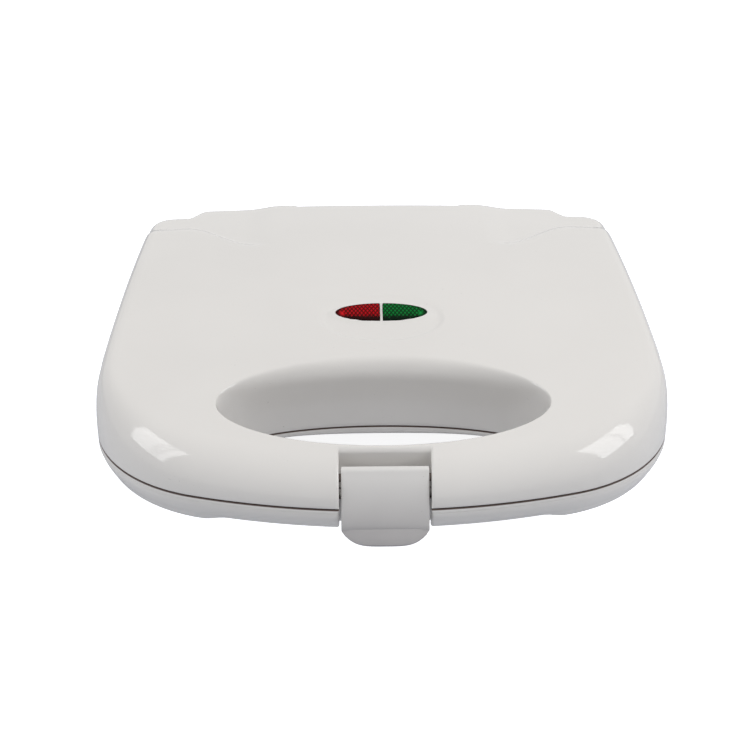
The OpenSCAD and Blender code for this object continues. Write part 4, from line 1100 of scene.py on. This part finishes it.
@dataclass
class LowerHousing(MouldedHalf):
    """Lower moulded half with its front legs, hinge ears, catch ledge and the seat of the cord bush."""

    body: Body = Body.BASE
    node: str = "lower_housing"
    sign: int = -1
    notch_back: float = -98.0
    rim_straight: float = 3.0
    rim_inset: float = 1.6
    lip_r: float = 1.4
    cord_z: float = 20.0
    bush_r: float = 6.05
    leg_r: float = 9.0
    leg_at: Pair = (72.0, -14.5)
    leg_h: float = 24.0

    def low_edge(self, s: Station) -> float:
        """Width of the rounded edge underneath."""
        return mix(6.5, 16, ease(-58.0, 10.0, s.y))

    def edge_point(self, s: Station, a: float, shrink: float, out: float) -> Triple:
        """Point of the rounded lower edge."""
        f = self.form
        w = self.low_edge(s)
        a = math.radians(a)
        crest = f.inset(s, w + shrink)
        fall = (f.split_z - f.under_z(*crest) - shrink - self.rim_straight) * math.sin(a)
        draw = self.rim_inset * min(1.0, fall / 6) + (w - self.rim_inset) * (1 - math.cos(a))
        return *f.inset(s, shrink + draw - out), f.split_z - self.rim_straight - fall

    def angle_at(self, s: Station, rise: float) -> float:
        """The angle at which the lower edge stands this far below the split."""
        f = self.form
        crest = f.inset(s, self.low_edge(s))
        return math.degrees(math.asin((rise - self.rim_straight)
                                      / (f.split_z - f.under_z(*crest) - self.rim_straight)))

    def outer_levels(self) -> list[Level]:
        """The levels of the outside, from the rim under the body to the opening's edge."""
        f = self.form

        def rim(fall: float, share: float, draw: float) -> Level:
            """A level of the side rim and its fillet."""
            def at(s: Station) -> Vector:
                """The point at a station."""
                out = f.rim_out(s) * share - draw
                if fall <= self.rim_straight:
                    return Vector((*f.inset(s, -out), f.split_z - fall))
                return Vector(self.edge_point(s, self.angle_at(s, fall), 0, out))
            return at

        def lip(b: float) -> Level:
            """A level of the rounding at the opening's lower edge."""
            def at(s: Station) -> Vector:
                """The point at a station."""
                t = f.open_angle(s)
                foot = f.under_z(*f.open_xy(t, self.lip_r, 0))
                return Vector((*f.open_xy(t, self.lip_r * (1 - math.sin(b)), 0),
                               foot + self.lip_r * (1 - math.cos(b))))
            return at
        groove = ((0.15, 1, 0.4), (0.3, 1, 0.1), (0.55, 1, 0), (1.45, 1, 0), (1.5, 1, 0.14), (1.72, 1, 0.14),
                  (1.77, 1, 0.02), (3.0, 1, 0.02))
        return [rim(*step) for step in groove + self.fillet] + [self.edge(k / 14) for k in range(15)] \
            + [self.spread(k / 46, lambda s: f.inset(s, self.low_edge(s)), f.open_edge(self.lip_r), f.under_z)
               for k in range(1, 46)] \
            + [lip(math.pi / 2 * k / 5) for k in range(6)] \
            + self.walls((0.8, 0), *self.rim_steps)

    def inner_levels(self) -> list[Level]:
        """The levels of the inside, from the rim under the body to the opening's edge."""
        f = self.form
        return [self.upright(f.gap, lambda s: f.inset(s, f.wall))] \
            + [lambda s, a=a: Vector(self.edge_point(s, a, f.wall, 0)) for a in (0, 20, 38, 55, 72, 90)] \
            + [self.spread(k / 12, lambda s: f.inset(s, self.low_edge(s) + f.wall), f.open_edge(f.wall),
                           lambda x, y: f.under_z(x, y) + f.wall * 1.1) for k in range(1, 13)] \
            + self.walls((f.gap, f.wall))

    def holes(self) -> BMesh:
        """Shapes taken away: pockets of the knuckles, sleeve channel and the cord's hole."""
        bm = self.cutters(self.knuckles, 31.1, 4.05)
        bore = cylinder(self.bush_r, 30)
        move(bore, Matrix.Translation((0, 98, self.cord_z)) @ Matrix.Rotation(math.pi / 2, 4, "X"))
        join(bm, bore)
        return bm

    def extras(self, bm: BMesh) -> None:
        """Adds the ears, the catch ledge and the front legs, cut off along the sloping underside."""
        f = self.form
        self.add_barrels(bm, self.ears)
        add_block(bm, (-10, self.notch_back - 4.8, 39.2), (10, self.notch_back + 0.6, 41.5), 0.35)
        tilt = math.atan(0.52)
        for sx in (-1, 1):
            leg = cylinder(self.leg_r, self.leg_h, 64)
            move(leg, Matrix.Translation((sx * self.leg_at[0], self.leg_at[1], f.base_z + self.leg_h / 2)))
            round_edges(leg, [e for e in sharp_edges(leg) if all(v.co.z < f.base_z + 0.1 for v in e.verts)], 0.8)
            clip(leg, (0, f.open_y + f.open_b, 39.3), (0, -math.sin(tilt), -math.cos(tilt)))
            join(bm, leg)


# ------------------------------------------------------------------ latch and windows


@dataclass
class Latch:
    """Swinging latch: a leaning plate with a crease, a half-moon lip, a pin barrel and a tooth."""

    half_w: float = 16.0
    lean: float = 0.5
    extra_lean: float = 0.17
    front_y: float = -99.0
    top_z: float = 55.0
    thick: float = 2.4
    crease_z: float = 35.5
    tip: Pair = (-112.5, 31.0)
    lip_power: float = 4.0
    steps: int = 28
    axis: Pair = (-97.5, 50.5)
    barrel_half: float = 15.6
    barrel_r: float = 3.0
    tooth_half: float = 9.5
    tooth_y: float = -100.4
    tooth_z: float = 37.8

    def front(self, z: float) -> float:
        """Place of the front face at a height, leaning most at its top."""
        drop = self.top_z - z
        return self.front_y - drop * (self.lean + self.extra_lean * (1 - drop / (self.top_z - self.crease_z)))

    def back(self, z: float) -> float:
        """Place of the rear face at a height."""
        return self.front(z) + self.thick * math.sqrt(1 + self.lean ** 2)

    def profile(self, lip: float) -> list[Pair]:
        """Closed section of the plate, with the lip standing out by a share of its full reach."""
        c, z0 = self.crease_z, self.top_z
        ty, tz = self.tip
        flat = self.front(c)
        face = [(self.front(z), z) for z in (53.9, 50, 46, 42, 39, 37.2)]
        lower = [(self.front(36.2) - 0.02, 36.2), (flat + 0.12, c + 0.25), (flat + 0.1, c - 0.15)]
        lips = [between((flat, c - 0.9), end, lip) for end in (
            (mix(flat, ty, 0.25), c - 0.9), (mix(flat, ty, 0.6), c - 2.3), (ty + 0.4, tz + 0.9), (ty, tz),
            (ty + 0.35, tz - 0.8), (ty + 1.3, tz - 1.1), (ty + 4.2, tz + 0.6))]
        rear = [(self.back(z), z) for z in (c - 1.2, 38, 42, 46, 50, 54.0)]
        crown = [(self.back(54.6) - 0.2, 54.75), (self.back(z0) - 0.8, z0), (self.front(z0) + 0.8, z0),
                 (self.front(54.7) + 0.15, 54.75), (self.front(54.3), 54.3)]
        return face + lower + lips + rear + crown

    def plate(self) -> BMesh:
        """The plate with its lip, extruded from side to side."""
        def level(step: int) -> Callable[[int], Triple]:
            """One section, a function from a point's number to its place."""
            x = mix(-self.half_w, self.half_w, step / self.steps)
            points = self.profile(1 - (abs(x) / self.half_w) ** self.lip_power)
            return lambda k: (x, *points[k])
        bm = level_strip([level(step) for step in range(self.steps + 1)], range(len(self.profile(1))))
        close_ends(bm, 0)
        bmesh.ops.remove_doubles(bm, verts=bm.verts, dist=1e-4)
        bmesh.ops.recalc_face_normals(bm, faces=bm.faces)
        ends = [e for e in bm.edges if len(e.link_faces) == 2 and any(len(f.verts) > 6 for f in e.link_faces)]
        round_edges(bm, ends, 0.45)
        return bm

    def build(self) -> None:
        """Builds and dresses the latch."""
        bm = self.plate()
        add_rod(bm, -self.barrel_half, self.barrel_half, *self.axis, self.barrel_r, 0.3)
        tooth = bmesh.new()
        bmesh.ops.create_cube(tooth, size=1.0)
        z = self.tooth_z
        corners = {(False, False): (self.back(z - 3.2) - 1, z - 3.2), (True, False): (self.tooth_y, z - 1.6),
                   (True, True): (self.tooth_y, z), (False, True): (self.back(z + 0.8) - 1, z + 0.8)}
        for v in tooth.verts:
            v.co = (math.copysign(self.tooth_half, v.co.x), *corners[v.co.y > 0, v.co.z > 0])
        round_edges(tooth, tooth.edges, 0.25)
        join(bm, tooth)
        dress(to_object(bm, "Latch"), Body.LATCH, Finish.LATCH, "latch")


@dataclass
class IndicatorWindow:
    """A half-oval window on the top: a domed cap on a straight skirt with a lip underneath."""

    form: Form
    side: int
    name: str
    node: str
    finish: Finish
    gap: float = 0.75
    foot: float = -3.9
    lip: float = 1.2
    points: int = 120

    def ring(self, wide: bool, shrink: float, z: float) -> Callable[[float], Triple]:
        """A level of the window, as wide as the lip or shrunk by a share of its size."""
        a, b = (half + self.lip if wide else half * (1 - shrink) for half in self.form.lens_half)
        return lambda t: (a * math.cos(t), b * math.sin(t), z)

    def build(self) -> None:
        """Builds and dresses the window."""
        rings = [(True, 0, self.foot), (True, 0, self.foot + self.lip), (False, 0, self.foot + self.lip),
                 (False, 0, -0.1), (False, 0, 0.12), (False, 0.006, 0.2), (False, 0.02, 0.27)]
        rings += [(False, k / 12, 0.27 + 0.23 * (1 - (1 - k / 12) ** 2)) for k in range(1, 12)]
        turns = [math.pi / 2 + 2 * math.pi * k / self.points for k in range(self.points)]
        bm = level_strip([self.ring(*ring) for ring in rings], turns)
        close_ends(bm, 2)
        clip(bm, (self.side * self.gap, 0, 0), (self.side, 0, 0))
        bmesh.ops.recalc_face_normals(bm, faces=bm.faces)
        move(bm, self.form.lens_place())
        dress(to_object(bm, self.name), Body.LID, self.finish, self.node)


# ------------------------------------------------------------------ plates


@dataclass
class CookingPlate:
    """Cast plate with four triangular pockets and a flange behind its face."""

    form: Form
    upper: bool
    w: float = 203.2
    d: float = 113.2
    y: float = 25.5
    r: float = 13.6
    pocket_half: Pair = (98.5, 53.5)
    depth: float = 10.0
    draft: float = 9.0
    ridge: float = 5.0
    face: float = 0.3
    cast: float = 2.0
    brim: float = 0.42

    def triangles(self) -> list[list[Pair]]:
        """Corners of the two pockets on the right side."""
        x0, x1 = self.ridge / 2, self.pocket_half[0]
        y0, y1 = self.y - self.pocket_half[1], self.y + self.pocket_half[1]
        return [[(x0, y1), (x0, y0), (x1, y1)], [(x1, y0), (x1, y1), (x0, y0)]]

    def pocket(self, x: float, y: float) -> float:
        """Depth of the face at a place, from 0 on a ridge to the floor of a pocket."""
        x = abs(x)
        best = 0.0
        for tri in self.triangles():
            away = math.inf
            for k in range(3):
                (ax, ay), (bx, by), (cx, cy) = tri[k], tri[(k + 1) % 3], tri[(k + 2) % 3]
                length = math.hypot(bx - ax, by - ay)
                here, there = (((bx - ax) * (py - ay) - (by - ay) * (px - ax)) / length
                               for px, py in ((x, y), (cx, cy)))
                d = here * math.copysign(1, there) - self.ridge / 2
                away = d if away == math.inf else soft_min(away, d, 7.0)
            best = max(best, self.depth * soft_min(soft_max(away / self.draft, 0.0, 0.22), 1.0, 0.3))
        return min(best, self.depth)

    def cut_corners(self, bm: BMesh) -> None:
        """Rounds the outline of the flat face in ten cuts a corner."""
        for sx, sy in ((-1, -1), (-1, 1), (1, -1), (1, 1)):
            cx, cy = sx * (self.w / 2 - self.r), self.y + sy * (self.d / 2 - self.r)
            for k in range(10):
                a = math.radians(4.5 + 9 * k)
                n = (sx * math.cos(a), sy * math.sin(a), 0)
                near = [f for f in bm.faces if (f.calc_center_median().x - cx) * sx > -2
                        and (f.calc_center_median().y - cy) * sy > -2]
                slice_faces(bm, near, (cx + n[0] * self.r, cy + n[1] * self.r, 0), n, clear_outer=True)

    def beyond(self, co: Vector, out: float, z: float) -> Triple:
        """A point of the plate's edge moved out from the brim.

        Args:
            co: The point.
            out: Distance from the outline of the face, in its brim's terms.
            z: New height.

        Returns:
            The moved point.
        """
        half_x, half_y = self.w / 2 - self.r, self.d / 2 - self.r
        px, py = co.x, co.y - self.y
        ex, ey = max(abs(px) - half_x, 0), max(abs(py) - half_y, 0)
        grow = (self.r - self.brim + out) / (math.hypot(ex, ey) or 1.0)
        return (math.copysign(min(abs(px), half_x) + ex * grow, px),
                self.y + math.copysign(min(abs(py), half_y) + ey * grow, py), z)

    def build(self) -> None:
        """Builds and dresses the plate."""
        bm = bmesh.new()
        bmesh.ops.create_grid(bm, x_segments=170, y_segments=96, size=0.5)
        move(bm, Matrix.Translation((0, self.y, 0)) @ Matrix.Diagonal((self.w, self.d, 1, 1)))
        self.cut_corners(bm)
        for v in bm.verts:
            v.co.z = -self.pocket(v.co.x, v.co.y)
        face_up(bm)
        edges = [e for e in bm.edges if e.is_boundary]
        for out, z in ((0.25, -0.08), (self.brim, -0.42), (self.brim, -2.3), (5.3, -2.3), (5.3, -4.2)):
            edges = extrude_ring(bm, edges, lambda v: self.beyond(v.co, out, z))
        bmesh.ops.translate(bm, vec=(0, 0, -self.face), verts=bm.verts)
        if self.upper:
            bmesh.ops.scale(bm, vec=(1, 1, -1), verts=bm.verts)
            bmesh.ops.reverse_faces(bm, faces=bm.faces)
        bmesh.ops.translate(bm, vec=(0, 0, self.form.split_z), verts=bm.verts)
        side = "upper" if self.upper else "lower"
        obj = to_object(bm, side.title() + "Plate")
        wall = obj.modifiers.new("cast_wall", "SOLIDIFY")
        wall.thickness, wall.offset = self.cast * MM, -1.0
        dress(obj, Body.LID if self.upper else Body.BASE, Finish.PLATE, side + "_plate", 50)


# ------------------------------------------------------------------ small parts


@dataclass
class RubberFoot:
    """Rubber foot with a rounded tread edge, a ring groove and a snap-in stem."""

    name: str
    node: str
    at: Pair
    base_z: float = 4.5
    stem_z: float = 7.12

    def build(self) -> None:
        """Spins the foot's section and dresses it."""
        base, top = self.base_z, self.stem_z
        points = [(0.01, 0.0), (2.6, 0.0), (2.8, 0.5), (3.3, 0.5), (3.5, 0.0), (6.1, 0.0), (6.55, 0.12),
                  (6.88, 0.42), (7.0, 0.9), (7.0, 3.7), (6.8, 4.2), (6.4, base), (2.0, base), (2.0, top),
                  (2.8, top), (2.0, top + 1.5), (0.01, top + 1.5)]
        bm = bmesh.new()
        tail = bmesh.ops.create_vert(bm, co=(points[0][0], 0, points[0][1]))["vert"][0]
        for r, z in points[1:]:
            tail = verts_of(bmesh.ops.extrude_vert_indiv(bm, verts=[tail])["verts"])[0]
            tail.co = (r, 0, z)
        spin_round(bm, (0, 0, 1), 48, 0.02)
        bmesh.ops.translate(bm, vec=(*self.at, 0), verts=bm.verts)
        dress(to_object(bm, self.name), Body.BASE, Finish.RUBBER, self.node, 38)


@dataclass
class CordBush:
    """Rubber bush of the cord inlet, with a rounded collar and ribs on its nose."""

    hole_r: float = 3.4
    body_r: float = 6.0
    seat: Pair = (94.4, 103.0)
    z: float = 20.0

    def build(self) -> None:
        """Spins the bush's section about its bore and dresses it."""
        a, b = self.seat
        r, h = self.body_r, self.hole_r
        points = [(h, a - 2), (r + 1.2, a - 2), (r + 1.2, a - 0.05), (r, a - 0.05), (r, b + 0.05),
                  (r + 1.7, b + 0.05), (r + 2, b + 0.35), (r + 2, b + 0.9), (r + 1.6, b + 1.4),
                  (r + 0.9, b + 1.55), (r + 0.5, b + 1.75), (h + 1.6, b + 2), (h + 0.3, b + 2), (h, b + 1.7)]
        bm = level_strip([lambda k: (*points[k], 0)], range(len(points)))
        spin_round(bm, (0, 1, 0), 56, 0.001)
        bmesh.ops.translate(bm, vec=(0, 0, self.z), verts=bm.verts)
        dress(to_object(bm, "CordBush"), Body.BASE, Finish.RUBBER, "cord_bush", 38)


@dataclass
class CarriedNodes:
    """CAD nodes whose shape stays, by the finish that they get."""

    nodes: dict[Finish, tuple[str, ...]] = field(default_factory=lambda: {
        Finish.FRAME: ("lower_frame", "upper_frame"),
        Finish.HEATER: ("lower_heater", "upper_heater"),
        Finish.SHEET: ("lower_reflector", "upper_reflector", "fuse_clip", "thermostat_strap"),
        Finish.FASTENER: ("lower_reflector_screws", "upper_reflector_screws", "lower_screws", "upper_screws",
                          "lamp_holder_screws", "hinge_pin_left", "hinge_pin_right"),
        Finish.PIN: ("latch_pin",),
        Finish.CERAMIC: ("lower_terminals", "upper_terminals", "terminal_block", "thermal_fuse", "lamp_holder"),
        Finish.THERMOSTAT: ("thermostat",),
        Finish.SLEEVE: ("lower_wiring", "upper_wiring"),
        Finish.CONDUIT: ("wire_conduit",),
        Finish.LAMP: ("red_lamp", "green_lamp"),
    })

    def dress(self) -> None:
        """Gives every carried node its finish."""
        for finish, names in self.nodes.items():
            for name in names:
                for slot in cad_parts[name].material_slots:
                    slot.material = finish.made()
        log.info("carried nodes: %d", sum(map(len, self.nodes.values())))


# ------------------------------------------------------------------ studio


@dataclass
class Studio:
    """Floor, light and camera. Sizes in metres."""

    elevation: float = 28.39
    distance: float = 0.607
    yaw: float = 0.906
    pixels: float = 1440.5
    centre: Pair = (381.04, 371.8)
    target: Triple = (0.0, -0.0065, 0.045)
    picture: int = 748
    sensor: float = 36.0
    world_level: float = 0.28
    floor_half: float = 3.0
    floor_colour: Triple = (0.66, 0.68, 0.73)
    floor_glow: float = 0.88
    pane_size: Pair = (0.72, 0.95)
    pane_power: float = 8.5

    def camera(self) -> None:
        """Puts the camera at the photograph's viewing angle."""
        el, yaw = math.radians(self.elevation), math.radians(self.yaw)
        ahead = Vector((math.sin(yaw) * math.cos(el), math.cos(yaw) * math.cos(el), -math.sin(el)))
        data = bpy.data.cameras.new("Camera")
        data.sensor_width = self.sensor
        data.lens = self.pixels / self.picture * self.sensor
        data.shift_x = -(self.centre[0] - self.picture / 2) / self.picture
        data.shift_y = (self.centre[1] - self.picture / 2) / self.picture
        data.clip_start, data.clip_end = 0.01, 20
        cam = link("Camera", data)
        cam.location = Vector(self.target) - ahead * self.distance
        cam.rotation_euler = ahead.to_track_quat("-Z", "Y").to_euler()
        bpy.context.scene.camera = cam

    @staticmethod
    def rays(tree: bpy.types.NodeTree, *kinds: str) -> Socket:
        """1 for the named kinds of rays and 0 for all others."""
        path = add_node(tree, "LightPath").outputs
        share = path[kinds[0]]
        for kind in kinds[1:]:
            share = add_node(tree, "Math", {0: share, 1: path[kind]}, operation="MAXIMUM").outputs[0]
        return share

    def world(self) -> None:
        """White to the camera and in reflections, a plain soft level as light."""
        world = bpy.data.worlds.new("Studio")
        bpy.context.scene.world = world
        world.use_nodes = True
        tree = world.node_tree
        seen = self.rays(tree, "Is Camera Ray", "Is Transmission Ray", "Is Glossy Ray")
        level = add_node(tree, "MapRange", {"Value": seen, "To Min": self.world_level, "To Max": 1.0})
        back = tree.nodes["Background"].inputs
        feed(tree, back["Strength"], level.outputs["Result"])
        feed(tree, back["Color"], (1.0, 1.0, 1.0))

    def floor(self) -> None:
        """A plain pale floor that shows white to the camera and keeps the object's shadow."""
        bm = bmesh.new()
        bmesh.ops.create_grid(bm, x_segments=1, y_segments=1, size=self.floor_half / MM)
        obj = to_object(bm, "Floor")
        material = bare_material("floor_white")
        tree = material.node_tree
        seen = self.rays(tree, "Is Camera Ray", "Is Transmission Ray")
        level = add_node(tree, "Math", {0: seen, 1: self.floor_glow}, operation="MULTIPLY")
        pale = add_node(tree, "BsdfDiffuse", {"Color": self.floor_colour})
        glow = add_node(tree, "Emission", {"Strength": level.outputs[0]})
        both = add_node(tree, "AddShader", {0: pale.outputs[0], 1: glow.outputs[0]})
        add_node(tree, "OutputMaterial", {"Surface": both.outputs[0]})
        obj.data.materials.append(material)

    def lamp(self, name: str, place: Sequence[float], size: Pair, power: float, aim: Sequence[float],
             colour: Triple = (1, 1, 1), gloss: bool = True) -> None:
        """Adds a soft rectangular lamp.

        Args:
            name: Name of the lamp.
            place: Where it stands.
            size: Width and height.
            power: Watts.
            aim: Point that it faces.
            colour: Tint of its light.
            gloss: Whether it shows in reflections.
        """
        data = bpy.data.lights.new(name, "AREA")
        data.color = colour
        data.shape, data.size, data.size_y, data.energy = "RECTANGLE", *size, power
        obj = link(name, data)
        obj.location = place
        obj.rotation_euler = (Vector(aim) - Vector(place)).to_track_quat("-Z", "Y").to_euler()
        obj.visible_glossy = gloss

    def lamps(self) -> None:
        """A broad lamp overhead and small panes towards the front corners."""
        self.lamp("Overhead", (0.4, 0.1, 1.5), (1.8, 1.4), 10.0, (0, -0.02, 0.05), (1.0, 0.985, 0.965), False)
        aim = Vector((0, -0.05, 0.05))
        width, height = self.pane_size
        left = ((0.0, 0.56), (0.585, 0.64), (0.665, 0.75), (0.785, 1.0))
        right = ((0.0, 0.3), (0.34, 1.0))
        for side, panes in ((-1, left), (1, right)):
            middle = Vector((side * 1.15, -0.42, 0.9))
            across = (middle - aim).cross(Vector((0, 0, 1))).normalized() * side
            for start, end in panes:
                share = end - start
                place = middle + across * (width * ((start + end) / 2 - 0.5))
                self.lamp("Pane", place, (width * share, height), self.pane_power * share,
                          aim + (place - middle))

    def build(self) -> None:
        """Sets up the whole studio."""
        self.camera()
        self.world()
        self.floor()
        self.lamps()
        bpy.context.scene.view_settings.view_transform = "Standard"
        log.info("studio: camera %.1f degrees above the table", self.elevation)


def main() -> None:
    """Builds the studio and every piece of the toaster in order."""
    logging.basicConfig(level=logging.INFO, format="%(name)s %(message)s")
    Studio().build()
    form = Form()
    UpperHousing(form).build()
    LowerHousing(form).build()
    Latch().build()
    IndicatorWindow(form, -1, "RedWindow", "red_window", Finish.RED).build()
    IndicatorWindow(form, 1, "GreenWindow", "green_window", Finish.GREEN).build()
    for upper in (True, False):
        CookingPlate(form, upper).build()
    for node, at in (("front_left_foot", (-72.0, -14.5)), ("front_right_foot", (72.0, -14.5)),
                     ("rear_left_foot", (-78.0, 74.0)), ("rear_right_foot", (78.0, 74.0))):
        RubberFoot(node.title().replace("_", ""), node, at).build()
    CordBush().build()
    CarriedNodes().dress()


if __name__ == "__main__":
    main()
